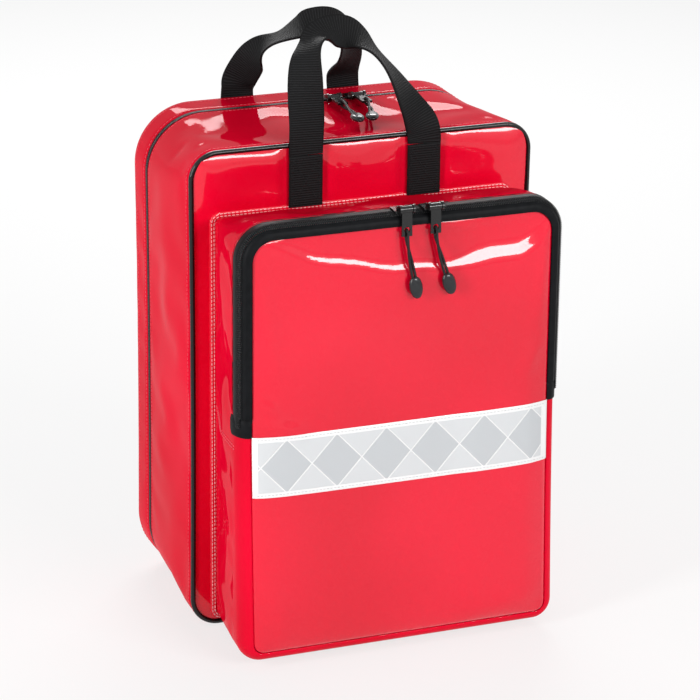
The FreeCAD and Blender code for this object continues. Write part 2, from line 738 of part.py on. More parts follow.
def handles():
    """Webbing carry handles: sewn feet on the panels, and the loops that fold down at their feet."""
    width = cell("handle_width").value
    thick = cell("handle_thickness")
    vector = FreeCAD.Vector
    # (side as a share of the half span, share of the rise, share of the lean, way the width points)
    front_route = (
        (-0.96, 0.00, 0.00, (1, 0, 0)),
        (-0.96, 0.05, 0.00, (1, 0, 0)),
        (-0.95, 0.30, 0.00, (1, -0.1, 0)),
        (-0.96, 0.62, 0.08, (0.85, -0.5, 0.1)),
        (-0.90, 0.86, 0.30, (0.5, -0.8, 0.2)),
        (-0.72, 0.97, 0.58, (0, -1, 0)),
        (-0.46, 1.00, 0.84, (-0.2, -0.8, -0.5)),
        (-0.13, 0.98, 1.00, (-0.2, -0.55, -0.8)),
        (0.13, 0.92, 0.94, (-0.3, -0.8, -0.45)),
        (0.36, 0.79, 0.76, (-0.45, -0.9, 0.1)),
        (0.60, 0.60, 0.50, (-0.65, -0.7, 0.25)),
        (0.83, 0.34, 0.16, (-0.9, -0.35, 0.15)),
        (0.96, 0.17, 0.02, (-1, 0, 0)),
        (1.00, 0.05, 0.00, (-1, 0, 0)),
        (1.00, 0.00, 0.00, (-1, 0, 0)),
    )
    rear_route = (
        (-1.00, 0.00, 0.00, (1, 0, 0)),
        (-1.00, 0.05, 0.00, (1, 0, 0)),
        (-0.99, 0.16, 0.00, (1, 0, 0)),
        (-0.95, 0.30, 0.06, (0.75, -0.6, 0.2)),
        (-0.80, 0.58, 0.35, (0.4, -0.9, 0.35)),
        (-0.58, 0.80, 0.68, (-0.1, -0.95, 0.2)),
        (-0.25, 0.96, 0.94, (-0.3, -0.85, -0.4)),
        (0.05, 1.00, 1.00, (-0.2, -0.6, -0.75)),
        (0.36, 0.97, 1.00, (-0.1, -0.35, -0.9)),
        (0.66, 0.84, 0.84, (-0.4, -0.6, -0.6)),
        (0.90, 0.52, 0.48, (-0.85, -0.5, -0.1)),
        (0.97, 0.26, 0.08, (-1, -0.1, 0)),
        (0.99, 0.16, 0.00, (-1, 0, 0)),
        (1.00, 0.05, 0.00, (-1, 0, 0)),
        (1.00, 0.00, 0.00, (-1, 0, 0)),
    )
    front_surface = front_y - cell("handle_clearance") - thick / 2
    rear_surface = back_y + cell("handle_clearance") + thick / 2
    pairs = (
        ("front", front_route, front_surface, 1, as_length(0)),
        ("rear", rear_route, rear_surface, -1, cell("rear_handle_middle")),
    )
    for end, route, surface, way, middle in pairs:
        span = cell(f"{end}_handle_span").value / 2
        rise = cell(f"{end}_handle_rise").value
        lean = cell(f"{end}_handle_lean").value * way
        level = handle_levels[end]
        stations = []
        for side, up, back, across in route:
            spot = vector(middle.value + side * span, surface.value + back * lean, level.value + up * rise)
            stations.append((spot, vector(*across)))
        loop = doc.addObject("Part::Feature", f"{end}_handle")
        loop.Shape = ribbon(stations, width, thick.value)
        keep(f"{end}_handle", loop)


def sewn_feet():
    """The handles' feet, sewn flat on the panels below the loops."""
    half = cell("handle_width") / 2
    thick = cell("handle_thickness")
    play = cell("fold_clearance")
    span = cell("front_handle_span") / 2
    base_top = base_top_z + cell("flange_width")
    panel = front_y + cell("piping_dia") - cell("shell_wall")
    front_feet = []
    for middle in (span * -0.96, span):
        front_feet.append(box(middle - half, middle + half, front_y - cell("handle_clearance") - thick, panel,
                              base_top, handle_levels["front"] - play))
    keep("front_handle_feet", fuse(*front_feet))
    span = cell("rear_handle_span") / 2
    top = handle_levels["rear"] - play
    rear_feet = []
    for middle in (cell("rear_handle_middle") - span, cell("rear_handle_middle") + span):
        rear_feet.append(box(middle - half, middle + half, back_y, back_y + cell("handle_clearance") + thick,
                             top - cell("rear_foot_height"), top))
    keep("rear_handle_feet", fuse(*rear_feet))


def back_padding():
    """Foam pads on the back panel."""
    foam = cell("back_pad_thickness")
    outline = (cell("back_pad_width"), cell("back_pad_height"), foam)
    for label, sign in (("back_pad_left", -1), ("back_pad_right", 1)):
        middle_x = (cell("back_pad_gap") + cell("back_pad_width")) * sign / 2
        level = cell("back_pad_level") + cell("back_pad_height") / 2
        cushion = new_body(label, back_y + foam, level)
        put(cushion, middle_x, back_y + foam, level)
        add_slab(cushion, outline, foam)
        keep(label, cushion)
    level = cell("lumbar_pad_level") + cell("lumbar_pad_height") / 2
    lumbar = new_body("lumbar_pad", back_y + foam, level)
    add_slab(lumbar, (cell("lumbar_pad_width"), cell("lumbar_pad_height"), foam), foam)
    keep("lumbar_pad", lumbar)


def shoulder_straps():
    """Padded straps between a yoke and tabs on the back; each loop swings about its two sewn ends."""
    vector = FreeCAD.Vector
    anchor = cell("anchor_thickness")
    yoke_half = cell("yoke_width") / 2
    yoke_level = cell("yoke_level")
    yoke = box(-yoke_half, yoke_half, back_y, back_y + anchor, yoke_level, yoke_level + cell("yoke_height"))
    keep("strap_yoke", yoke)
    axis_y = back_y + anchor + cell("anchor_clearance") + cell("anchor_roll_dia") / 2
    width = cell("strap_width").value
    thick = cell("strap_thickness").value
    out = cell("strap_stand_off").value - cell("anchor_roll_dia").value / 2 - cell("anchor_clearance").value
    for side_name, sign in (("left", -1), ("right", 1)):
        tab_half = cell("anchor_tab_width") / 2
        foot_x = cell("strap_foot_side") * sign
        tab_x = (foot_x - tab_half, foot_x + tab_half)
        tab_low = cell("strap_foot_level") - cell("anchor_tab_height") / 2
        tab_high = tab_low + cell("anchor_tab_height")
        tab = box(*tab_x, back_y, back_y + anchor, tab_low, tab_high)
        keep(f"strap_tab_{side_name}", tab)
        top = vector(cell("strap_top_side").value * sign, axis_y.value, cell("strap_top_level").value)
        foot = vector(foot_x.value, axis_y.value, cell("strap_foot_level").value)
        down = foot - top

        def stations(route):
            """Stations along the line between the sewn ends: (share of the way, stand-off share, sway)."""
            places = []
            for share, stand, sway in route:
                spot = top + down * share + vector(sway * sign, out * stand, 0)
                places.append((spot, vector(1, 0, 0.25 * sign)))
            return places

        axis = down * (1 / down.Length)
        roll_length = cell("anchor_roll_length").value
        roll_radius = cell("anchor_roll_dia").value / 2
        top_roll = Part.makeCylinder(roll_radius, roll_length, top - axis * (roll_length / 2), axis)
        neck = ribbon(stations(((0.0, 0.05, 0), (0.02, 0.25, 0), (0.055, 0.45, 0), (0.10, 0.64, 0))),
                      cell("webbing_width").value, cell("webbing_thickness").value * 2)
        cushion = ribbon(stations(((0.10, 0.64, 0), (0.20, 0.86, -2), (0.33, 1.0, -4),
                                   (0.46, 1.0, -3), (0.58, 0.88, 0), (0.67, 0.74, 0))), width, thick)
        pad_feature = doc.addObject("Part::Feature", f"shoulder_strap_{side_name}")
        pad_feature.Shape = top_roll.fuse([neck, cushion]).removeSplitter()
        keep(f"shoulder_strap_{side_name}", pad_feature)

        foot_roll = Part.makeCylinder(roll_radius, roll_length, foot - axis * (roll_length / 2), axis)
        lower = ribbon(stations(((0.745, 0.60, 0), (0.84, 0.42, 0), (0.93, 0.22, 0),
                                 (0.975, 0.10, 0), (1.0, 0.02, 0))),
                       cell("webbing_width").value, cell("webbing_thickness").value)
        web_feature = doc.addObject("Part::Feature", f"strap_webbing_{side_name}")
        web_feature.Shape = foot_roll.fuse([lower]).removeSplitter()
        keep(f"strap_webbing_{side_name}", web_feature)

        lock = ribbon(stations(((0.672, 0.737, 0), (0.7075, 0.67, 0), (0.743, 0.603, 0))),
                      cell("buckle_width").value, cell("buckle_thickness").value)
        lock_feature = doc.addObject("Part::Feature", f"strap_buckle_{side_name}")
        lock_feature.Shape = lock
        keep(f"strap_buckle_{side_name}", lock_feature)


def check_and_write():
    """Recompute, stop on any failed object or bad shape, then write one STEP file for each sub-part."""
    doc.recompute()
    for thing in doc.Objects:
        if "Invalid" in thing.State or "Error" in thing.State:
            raise RuntimeError(f"{thing.Label} failed: {thing.State}")
    os.makedirs("parts", exist_ok=True)
    for label, thing in nodes.items():
        shape = thing.Shape
        if shape.isNull() or not shape.isValid() or not shape.Solids:
            raise RuntimeError(f"{label} has no valid solid")
        shape.exportStep(f"parts/{label}.step")
        bounds = shape.BoundBox
        print(f"{label}: {len(shape.Solids)} solid(s), {shape.Volume / 1000:.2f} cm3, "
              f"x {bounds.XMin:.1f} {bounds.XMax:.1f} y {bounds.YMin:.1f} {bounds.YMax:.1f} "
              f"z {bounds.ZMin:.1f} {bounds.ZMax:.1f}")


shells()
boards_and_shelves()
main_stringers()
pocket()
pocket_trim()
sliders_and_pulls()
handles()
sewn_feet()
back_padding()
shoulder_straps()
check_and_write()
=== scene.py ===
"""Looks of a trauma backpack: red coated fabric, black zips and webbing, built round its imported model."""

import functools
import logging
import math
from collections.abc import Callable, Sequence
from dataclasses import dataclass, replace
from enum import Enum

import bmesh
import bpy
import numpy as np
from mathutils import Matrix, Vector
from mathutils.bvhtree import BVHTree


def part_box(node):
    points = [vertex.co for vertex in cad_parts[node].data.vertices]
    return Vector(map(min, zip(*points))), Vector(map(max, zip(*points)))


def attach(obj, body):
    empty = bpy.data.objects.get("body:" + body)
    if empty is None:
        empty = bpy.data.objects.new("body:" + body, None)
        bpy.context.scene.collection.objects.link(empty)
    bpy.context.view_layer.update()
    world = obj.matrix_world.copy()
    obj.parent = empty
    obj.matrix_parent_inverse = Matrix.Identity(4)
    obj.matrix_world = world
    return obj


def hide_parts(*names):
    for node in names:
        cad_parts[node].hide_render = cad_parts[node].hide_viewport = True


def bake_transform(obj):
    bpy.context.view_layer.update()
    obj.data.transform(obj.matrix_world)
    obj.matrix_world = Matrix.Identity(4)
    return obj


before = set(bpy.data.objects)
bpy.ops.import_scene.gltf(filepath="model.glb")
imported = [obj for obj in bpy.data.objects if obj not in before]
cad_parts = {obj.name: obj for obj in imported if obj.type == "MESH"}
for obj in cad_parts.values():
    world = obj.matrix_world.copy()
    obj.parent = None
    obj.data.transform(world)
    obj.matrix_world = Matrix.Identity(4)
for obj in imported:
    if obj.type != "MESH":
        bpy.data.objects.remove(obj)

MM = 0.001
LEVEL_TOP = 400.0
LEVEL_SPARE = 1.9
EDGE_ANGLE = math.radians(60)
LINE_SAMPLES = 160
JOIN_REACH = 0.00002
LOG = logging.getLogger("backpack")
Place = Callable[[np.ndarray, np.ndarray], np.ndarray]
Colour = tuple[float, float, float]
Spot = tuple[float, float, float]
Socket = bpy.types.NodeSocket


def red_green_blue(red: int, green: int, blue: int) -> Colour:
    """A display colour, 0 to 255 each way, as the linear colour that a shader takes."""
    shares = (value / 255 for value in (red, green, blue))
    return tuple(s / 12.92 if s <= 0.04045 else ((s + 0.055) / 1.055) ** 2.4 for s in shares)


def scaled(colour: Colour, share: float) -> Colour:
    """A colour made darker or lighter."""
    return tuple(value * share for value in colour)


# ---------------------------------------------------------------- finishes


class Graph:
    """A material's or a world's node tree, with short ways to add its nodes."""

    def __init__(self, block: bpy.types.Material | bpy.types.World) -> None:
        """Turns the nodes of a material or a world on."""
        block.use_nodes = True
        self.nodes = block.node_tree.nodes
        self.links = block.node_tree.links

    def feed(self, node: bpy.types.Node, **inputs: object) -> bpy.types.Node:
        """Feeds a node's inputs, named with _ for a space, and returns the node."""
        for name, value in inputs.items():
            self.feed_socket(node.inputs[name.replace("_", " ")], value)
        return node

    def feed_socket(self, socket: Socket, value: object) -> None:
        """Links an input to a socket, sets it to a number or a colour, or leaves it alone for None."""
        if isinstance(value, Socket):
            self.links.new(value, socket)
        elif value is not None:
            socket.default_value = (*value, 1) if isinstance(value, tuple) else value

    def add(self, kind: str, *inputs: object, **settings: object) -> bpy.types.Node:
        """Adds a node.

        Args:
            kind: the node's type.
            inputs: what goes to its inputs in order: a socket, a number, a colour, or None to skip one.
            settings: the node's own settings.

        Returns:
            The node.
        """
        node = self.nodes.new(kind)
        for key, value in settings.items():
            setattr(node, key, value)
        for socket, value in zip(node.inputs, inputs):
            self.feed_socket(socket, value)
        return node

    def maths(self, operation: str, first: object, second: object = None) -> Socket:
        """The result of one sum on two numbers or sockets."""
        return self.add("ShaderNodeMath", first, second, operation=operation).outputs[0]

    def place(self) -> Socket:
        """A point's own place on the piece, in metres."""
        return self.add("ShaderNodeTexCoord").outputs["Object"]

    def cloth(self) -> tuple[Socket, Socket]:
        """A point's distance across and along the cloth, in metres."""
        split = self.add("ShaderNodeSeparateXYZ", self.add("ShaderNodeUVMap").outputs[0])
        return split.outputs[0], split.outputs[1]

    def noise(self, size: float, detail: float = 2.0) -> Socket:
        """Soft noise from 0 to 1 in patches of a size in millimetres, with finer layers."""
        return self.add("ShaderNodeTexNoise", self.place(), None, 1000 / size, detail).outputs["Fac"]

    def ripple(self, distance: Socket, pitch: float) -> Socket:
        """A wave from -1 to 1 along a distance, at a pitch in millimetres."""
        return self.maths("SINE", self.maths("MULTIPLY", distance, 2000 * math.pi / pitch))

    def span(self, value: Socket, start: float, end: float, low: float = 0, high: float = 1) -> Socket:
        """A value taken from one range to another, smooth at both ends."""
        node = self.add("ShaderNodeMapRange", value, start, end, low, high, interpolation_type="SMOOTHSTEP")
        return node.outputs[0]

    def blend(self, share: Socket, first: object, second: object) -> Socket:
        """A colour between two, by a share."""
        unused = [None] * 5
        return self.add("ShaderNodeMix", share, *unused, first, second, data_type="RGBA").outputs[2]

    def mottled(self, colour: Colour, shade: Colour, size: float, detail: float) -> Socket:
        """A colour that drifts to a shade of it, in patches of a size in millimetres."""
        return self.blend(self.span(self.noise(size, detail), 0.3, 0.7), shade, colour)

    def emboss(self, height: Socket, depth: float, under: Socket | None = None) -> Socket:
        """Turns a height from 0 to 1 into a bump.

        Args:
            height: the height.
            depth: what 1 stands for, in millimetres.
            under: a bump that this one lies on.

        Returns:
            The bumped normal.
        """
        bump = self.add("ShaderNodeBump")
        return self.feed(bump, Strength=1, Distance=depth * MM, Height=height, Normal=under).outputs[0]


@dataclass(frozen=True)
class Finish:
    """A surface's looks."""

    name: str

    def sockets(self, graph: Graph) -> dict[str, object]:
        """The settings of the shader, by the names of its sockets."""
        raise NotImplementedError


@functools.lru_cache(maxsize=None)
def material_of(finish: Finish) -> bpy.types.Material:
    """The material of a finish, built once."""
    material = bpy.data.materials.new(finish.name)
    graph = Graph(material)
    graph.feed(graph.nodes["Principled BSDF"], **finish.sockets(graph))
    return material


@dataclass(frozen=True)
class CoatedFabric(Finish):
    """Tarpaulin with a glossy coat, through which its woven scrim just shows."""

    name: str = "tarpaulin"
    colour: Colour = red_green_blue(228, 4, 46)
    shade: Colour = red_green_blue(214, 2, 38)
    scrim: float = 1.15
    waviness: float = 0.22
    coat: float = 1.0
    gloss: float = 1.46
    specular: float = 0.08

    def sockets(self, graph: Graph) -> dict[str, object]:
        """Red, scuffed and wavy under its coat."""
        across, along = graph.cloth()
        weave = graph.maths("MULTIPLY", graph.ripple(across, self.scrim), graph.ripple(along, self.scrim))
        bump = graph.emboss(graph.span(weave, -1, 1), 0.01, graph.emboss(graph.noise(26, 1), self.waviness))
        scuff = graph.span(graph.noise(9, 4), 0.3, 0.8, 0.24, 0.34)
        return dict(Base_Color=graph.mottled(self.colour, self.shade, 150, 1), Normal=bump, Roughness=scuff,
                    Specular_IOR_Level=self.specular, Coat_Weight=self.coat, Coat_Roughness=0.05,
                    Coat_IOR=self.gloss)


@dataclass(frozen=True)
class Nylon(Finish):
    """Plain woven cloth for the lining and the boards."""

    name: str = "lining"
    colour: Colour = red_green_blue(58, 60, 64)
    pitch: float = 0.9

    def sockets(self, graph: Graph) -> dict[str, object]:
        """Two crossing rows of threads."""
        x, y, z = graph.add("ShaderNodeSeparateXYZ", graph.place()).outputs
        both = graph.maths("ADD", graph.ripple(graph.maths("ADD", x, y), self.pitch),
                           graph.ripple(graph.maths("ADD", z, y), self.pitch))
        return dict(Base_Color=graph.mottled(self.colour, scaled(self.colour, 0.7), 30, 3), Roughness=0.72,
                    Normal=graph.emboss(graph.span(both, -2, 2), 0.08))


@dataclass(frozen=True)
class Webbing(Finish):
    """Black polyester webbing: crosswise ribs between woven edges."""

    name: str = "webbing_28"
    width: float = 28.0
    rib: float = 1.9
    strand: float = 0.9
    colour: Colour = red_green_blue(9, 9, 10)
    # The lighter colour of the painted highlight on the rib crests.
    thread: Colour = red_green_blue(40, 40, 42)

    def sockets(self, graph: Graph) -> dict[str, object]:
        """Ribs that fade out towards the woven edges, their crests painted lighter in fuzzy patches as a
        painted highlight.
        """
        across, along = graph.cloth()
        edge = graph.maths("ABSOLUTE", graph.maths("SUBTRACT", across, self.width * MM / 2))
        selvedge = graph.span(edge, self.width * MM * 0.44, self.width * MM * 0.47)
        height = graph.maths("ADD", graph.maths("MULTIPLY", graph.ripple(along, self.rib), 0.7),
                             graph.maths("MULTIPLY", graph.ripple(across, self.strand), 0.3))
        calm = graph.maths("MULTIPLY", height, graph.maths("SUBTRACT", 1.15, selvedge))
        # Painted highlight: the rib crests, broken up by fuzz, are painted towards the lighter colour.
        fuzz = graph.span(graph.noise(0.8, 2), 0.3, 0.7, 0.5, 1)
        lit = graph.maths("MULTIPLY", graph.span(calm, 0.1, 1), fuzz)
        return dict(Base_Color=graph.blend(lit, self.colour, self.thread), Roughness=0.62,
                    Normal=graph.emboss(graph.span(calm, -1, 1), 0.32), Specular_IOR_Level=0.14)


@dataclass(frozen=True)
class SatinTape(Finish):
    """Coated zip tape, charcoal with a satin shine and a fine twill."""

    name: str = "zip_tape"
    colour: Colour = red_green_blue(24, 25, 27)
    twill: float = 0.8

    def sockets(self, graph: Graph) -> dict[str, object]:
        """A slanting twill over soft waves."""
        twill = graph.ripple(graph.maths("ADD", *graph.cloth()), self.twill)
        bump = graph.emboss(graph.span(twill, -1, 1), 0.03, graph.emboss(graph.noise(5, 1), 0.25))
        return dict(Base_Color=graph.mottled(self.colour, scaled(self.colour, 0.72), 6, 3), Roughness=0.42,
                    Normal=bump, Specular_IOR_Level=0.05)


@dataclass(frozen=True)
class Moulding(Finish):
    """Plastic, rubber, enamel or thread with a fine grain.

    Attributes:
        grain: the size of the grain, in millimetres.
        relief: its depth, in millimetres.
        coat: how much clear gloss lies on it.
    """

    colour: Colour
    roughness: float
    grain: float = 1.2
    relief: float = 0.02
    coat: float = 0.0

    def sockets(self, graph: Graph) -> dict[str, object]:
        """A mottled colour, worn smooth in places."""
        wear = graph.noise(self.grain * 3, 4)
        worn = graph.span(wear, 0.3, 0.75, self.roughness * 0.8, self.roughness * 1.2)
        return dict(Base_Color=graph.mottled(self.colour, scaled(self.colour, 0.75), self.grain * 6, 3),
                    Roughness=worn, Normal=graph.emboss(graph.noise(self.grain, 2), self.relief),
                    Coat_Weight=self.coat, Coat_Roughness=0.08, Specular_IOR_Level=0.12)


@dataclass(frozen=True)
class Braid(Finish):
    """Round braided cord."""

    name: str = "pull_cord"
    colour: Colour = red_green_blue(12, 12, 13)
    pitch: float = 1.3

    def sockets(self, graph: Graph) -> dict[str, object]:
        """Strands that cross on the slant, painted lighter on their crests and darker between them as painted
        light and shade.
        """
        x, y, z = graph.add("ShaderNodeSeparateXYZ", graph.place()).outputs
        rise = graph.maths("ADD", y, z)
        weave = graph.maths("MULTIPLY", *(graph.ripple(graph.maths(way, rise, x), self.pitch)
                                          for way in ("ADD", "SUBTRACT")))
        # Painted highlight on the strands' crests and painted shade between them, from the height of the
        # bump.
        crest_light_groove_shade = graph.blend(graph.span(weave, -0.2, 1), self.colour, scaled(self.colour, 2.6))
        return dict(Base_Color=crest_light_groove_shade, Roughness=0.45, Normal=graph.emboss(graph.span(weave, -1, 1), 0.12),
                    Specular_IOR_Level=0.3)


@dataclass(frozen=True)
class Spacer(Finish):
    """Padding cover: an open mesh cloth with small round holes over foam."""

    name: str = "padding"
    colour: Colour = red_green_blue(36, 37, 40)
    pitch: float = 2.6

    def sockets(self, graph: Graph) -> dict[str, object]:
        """Holes in a soft cloth, painted dark as the shade inside them."""
        cells = graph.add("ShaderNodeTexVoronoi", graph.place(), None, 1000 / self.pitch).outputs["Distance"]
        hole = graph.span(cells, 0.12, 0.42)
        # Painted shade: the holes are painted at a fifth of the cloth's colour.
        return dict(Base_Color=graph.blend(hole, scaled(self.colour, 0.2), self.colour), Roughness=0.8,
                    Normal=graph.emboss(hole, 0.35), Sheen_Weight=0.2, Sheen_Roughness=0.5)


@dataclass(frozen=True)
class Retroreflector(Finish):
    """White sewn-on tape whose silver middle is crossed by a welded lattice.

    Attributes:
        height: the tape's height, in millimetres.
        margin: the white edge along its top, bottom and ends.
        crossing: the distance from one crossing to the next.
        spread: how far a line runs sideways over the silver's height.
        first: from the tape's end to its first crossing.
        prism: the pitch of the silver's fine cells.
    """

    name: str = "reflective"
    length: float = 244.0
    height: float = 50.0
    margin: float = 4.5
    crossing: float = 41.7
    spread: float = 38.5
    first: float = 6.2
    prism: float = 0.9
    white: Colour = red_green_blue(234, 235, 235)
    silver: Colour = red_green_blue(188, 192, 195)
    light_silver: Colour = red_green_blue(206, 209, 211)

    def within(self, graph: Graph, distance: Socket, size: float, soft: float) -> Socket:
        """1 within a white-edged size of the tape, for a distance from its middle."""
        inner = size / 2 - self.margin
        return graph.span(distance, inner, inner + soft, 1, 0)

    def sockets(self, graph: Graph) -> dict[str, object]:
        """Silver between two sets of slanting lines, with a white edge."""
        across, along = graph.cloth()
        width = graph.maths("MULTIPLY", across, 1000)
        rise = graph.maths("SUBTRACT", graph.maths("MULTIPLY", along, 1000), self.height / 2)
        rise = graph.maths("ABSOLUTE", rise)
        run = graph.maths("SUBTRACT", width, self.first)
        half_step = self.crossing / 2
        step = graph.add("ShaderNodeMath", run, half_step, -half_step, operation="WRAP").outputs[0]
        slope = self.spread / (self.height - 2 * self.margin)
        side = graph.maths("SUBTRACT", graph.maths("ABSOLUTE", step), graph.maths("MULTIPLY", rise, slope))
        line = graph.span(graph.maths("ABSOLUTE", side), 0.5, 0.85, 1, 0)
        cell = graph.blend(graph.span(side, -0.5, 0.5), self.light_silver, self.silver)
        middle = graph.maths("ABSOLUTE", graph.maths("SUBTRACT", width, self.length / 2))
        inside = graph.maths("MULTIPLY", self.within(graph, rise, self.height, 0.4),
                             self.within(graph, middle, self.length, 0.5))
        silver = graph.maths("MULTIPLY", inside, graph.maths("SUBTRACT", 1, line))
        prism = graph.maths("MULTIPLY", graph.ripple(across, self.prism), graph.ripple(along, self.prism))
        prism = graph.maths("MULTIPLY", prism, 0.05)
        relief = graph.maths("ADD", graph.maths("MULTIPLY", silver, 0.7), prism)
        return dict(Base_Color=graph.blend(silver, self.white, cell), Roughness=0.3,
                    Normal=graph.emboss(relief, 0.25), Coat_Weight=0.4, Coat_Roughness=0.12)


RED = CoatedFabric()
SIDE_RED = CoatedFabric("tarpaulin_side", coat=0.24, gloss=1.4, specular=0.0)
LINING = Nylon()
TAPE = SatinTape()
PIPING = Moulding("piping", red_green_blue(8, 8, 9), 0.3, 2.0, 0.02, 0.5)
COIL = Moulding("zip_coil", red_green_blue(24, 25, 27), 0.34, 0.8, 0.01, 0.25)
ENAMEL = Moulding("slider_metal", red_green_blue(10, 10, 11), 0.3, 1.6, 0.008, 0.7)
GRIP = Moulding("pull_grip", red_green_blue(34, 36, 39), 0.36, 0.5, 0.012, 0.5)
BUCKLE = Moulding("buckle", red_green_blue(22, 22, 24), 0.4, 0.6, 0.02, 0.1)
THREAD = Moulding("thread_red", red_green_blue(240, 92, 108), 0.5, 0.4, 0.03)
PALE_THREAD = Moulding("thread_pale", red_green_blue(250, 196, 200), 0.5, 0.4, 0.03)
WHITE_THREAD = Moulding("thread_white", red_green_blue(208, 209, 210), 0.5, 0.4, 0.03)
BLACK_THREAD = Moulding("thread_black", red_green_blue(30, 30, 32), 0.5, 0.4, 0.03)
MESH = Spacer()
BRAID = Braid()
STRAP = Webbing()
NARROW = Webbing("webbing_25", width=25.0)
REFLECTIVE = Retroreflector()


# ---------------------------------------------------------------- lines of points


def unit(rows: np.ndarray) -> np.ndarray:
    """Vectors made 1 long."""
    return rows / np.linalg.norm(rows, axis=-1, keepdims=True)


def run_along(line: np.ndarray) -> np.ndarray:
    """The distance along a line at each of its points."""
    return np.concatenate([[0], np.cumsum(np.linalg.norm(np.diff(line, axis=0), axis=1))])


def read_at(where: np.ndarray, run: np.ndarray, rows: np.ndarray) -> np.ndarray:
    """Rows that stand at distances along a run, read at other distances."""
    return np.stack([np.interp(where, run, column) for column in rows.T], axis=-1)


def every(line: np.ndarray, pitch: float, start: float = 0.0) -> tuple[np.ndarray, np.ndarray]:
    """Spots along a line of points at a pitch, and the way that the line runs there."""
    run = run_along(line)
    where = np.arange(start, run[-1], pitch)
    return read_at(where, run, line), read_at(where + 0.5, run, line) - read_at(where - 0.5, run, line)


def ease(value: np.ndarray, start: float, end: float) -> np.ndarray:
    """0 before start, 1 after end, and smooth between."""
    share = np.clip((value - start) / (end - start), 0, 1)
    return share * share * (3 - 2 * share)


def band(value: np.ndarray, middle: float, half: float) -> np.ndarray:
    """1 within half of the middle, falling smoothly to 0 a few millimetres beyond."""
    return 1 - ease(np.abs(value - middle), half, half + 8)


def seam_rise(distance: np.ndarray, reach: float) -> np.ndarray:
    """0 on a seam, rising quickly and then slowly towards 1 with the distance from it."""
    return 1 - np.exp(-distance / reach)


def swell(x: np.ndarray, z: np.ndarray, seed: float, size: float) -> np.ndarray:
    """A gentle uneven swell from -1 to 1, the same each time.

    Args:
        x: one coordinate, in millimetres.
        z: the other.
        seed: what tells one panel's swell from another's.
        size: about how far it is from one crest to the next.

    Returns:
        The swell.
    """
    a, b = x / size * 2 * math.pi, z / size * 2 * math.pi
    return (np.sin(a * 0.62 + b * 0.41 + seed) + np.sin(b * 0.77 - a * 0.31 + seed * 2.3)
            + np.sin(a * 0.23 + b * 1.13 + seed * 4.1)) / 3


def smooth_line(knots: np.ndarray, count: int) -> np.ndarray:
    """A smooth line through knots, with count points along it."""
    ends = np.concatenate([[2 * knots[0] - knots[1]], knots, [2 * knots[-1] - knots[-2]]])
    where = np.linspace(0, len(knots) - 1, count)
    index = np.minimum(where.astype(int), len(knots) - 2)
    t = (where - index)[:, None]
    a, b, c, d = (ends[index + k] for k in range(4))
    return 0.5 * (2 * b + (c - a) * t + (2 * a - 5 * b + 4 * c - d) * t**2 + (3 * b - a - 3 * c + d) * t**3)


def turned(first: np.ndarray, second: np.ndarray, angle: float) -> tuple[np.ndarray, np.ndarray]:
    """Two coordinates turned about the third, by an angle in radians."""
    sine, cosine = math.sin(angle), math.cos(angle)
    return first * cosine - second * sine, first * sine + second * cosine


# ---------------------------------------------------------------- making pieces


def pick(*pieces: bpy.types.Object) -> None:
    """Selects these pieces alone, and makes the last of them the active one."""
    for other in bpy.context.selected_objects:
        other.select_set(False)
    for piece in pieces:
        piece.select_set(True)
        bpy.context.view_layer.objects.active = piece


def points(piece: bpy.types.Object) -> np.ndarray:
    """A mesh's points, in millimetres."""
    flat = np.empty(len(piece.data.vertices) * 3)
    piece.data.vertices.foreach_get("co", flat)
    return flat.reshape(-1, 3) / MM


def put_points(piece: bpy.types.Object, spots: np.ndarray) -> None:
    """Moves a mesh's points to spots in millimetres."""
    piece.data.vertices.foreach_set("co", (spots * MM).ravel())
    piece.data.update()


def apply(piece: bpy.types.Object, kind: str, **settings: object) -> None:
    """Adds a modifier to a piece and applies it.

    Args:
        piece: the piece.
        kind: the modifier's type.
        settings: the modifier's settings.
    """
    modifier = piece.modifiers.new(kind.lower(), kind)
    for key, value in settings.items():
        setattr(modifier, key, value)
    pick(piece)
    bpy.ops.object.modifier_apply(modifier=modifier.name)


def smooth(piece: bpy.types.Object) -> None:
    """Shades a piece smooth all over."""
    piece.data.polygons.foreach_set("use_smooth", [True] * len(piece.data.polygons))


def fix_turn() -> None:
    """Keeps a new solid's place and turn in its points."""
    bpy.ops.object.transform_apply(location=True, rotation=True, scale=True)


def new_piece(name: str, spots: Sequence[Spot], faces: Sequence[Sequence[int]]) -> bpy.types.Object:
    """Makes a piece of corners in metres and faces, shaded smooth."""
    mesh = bpy.data.meshes.new(name)
    mesh.from_pydata(spots, [], faces)
    piece = bpy.data.objects.new(name, mesh)
    bpy.context.scene.collection.objects.link(piece)
    smooth(piece)
    return piece


def corners_and_faces(pieces: Sequence[bpy.types.Object]) -> tuple[list[Spot], list[tuple[int, ...]]]:
    """The corners and faces of several meshes, as one."""
    spots: list[Spot] = []
    faces: list[tuple[int, ...]] = []
    for piece in pieces:
        start = len(spots)
        spots += [tuple(vertex.co) for vertex in piece.data.vertices]
        faces += [tuple(corner + start for corner in face.vertices) for face in piece.data.polygons]
    return spots, faces


def surface(*pieces: bpy.types.Object) -> BVHTree:
    """The faces of some pieces as they are now, for stitches and tape to lie on."""
    return BVHTree.FromPolygons(*corners_and_faces(pieces))


def paint(piece: bpy.types.Object, *finishes: Finish) -> None:
    """Gives a piece these materials alone."""
    piece.data.materials.clear()
    for finish in finishes:
        piece.data.materials.append(material_of(finish))


def dress(piece: bpy.types.Object, slot: str, *finishes: Finish) -> None:
    """Gives a piece its materials."""
    paint(piece, *finishes)


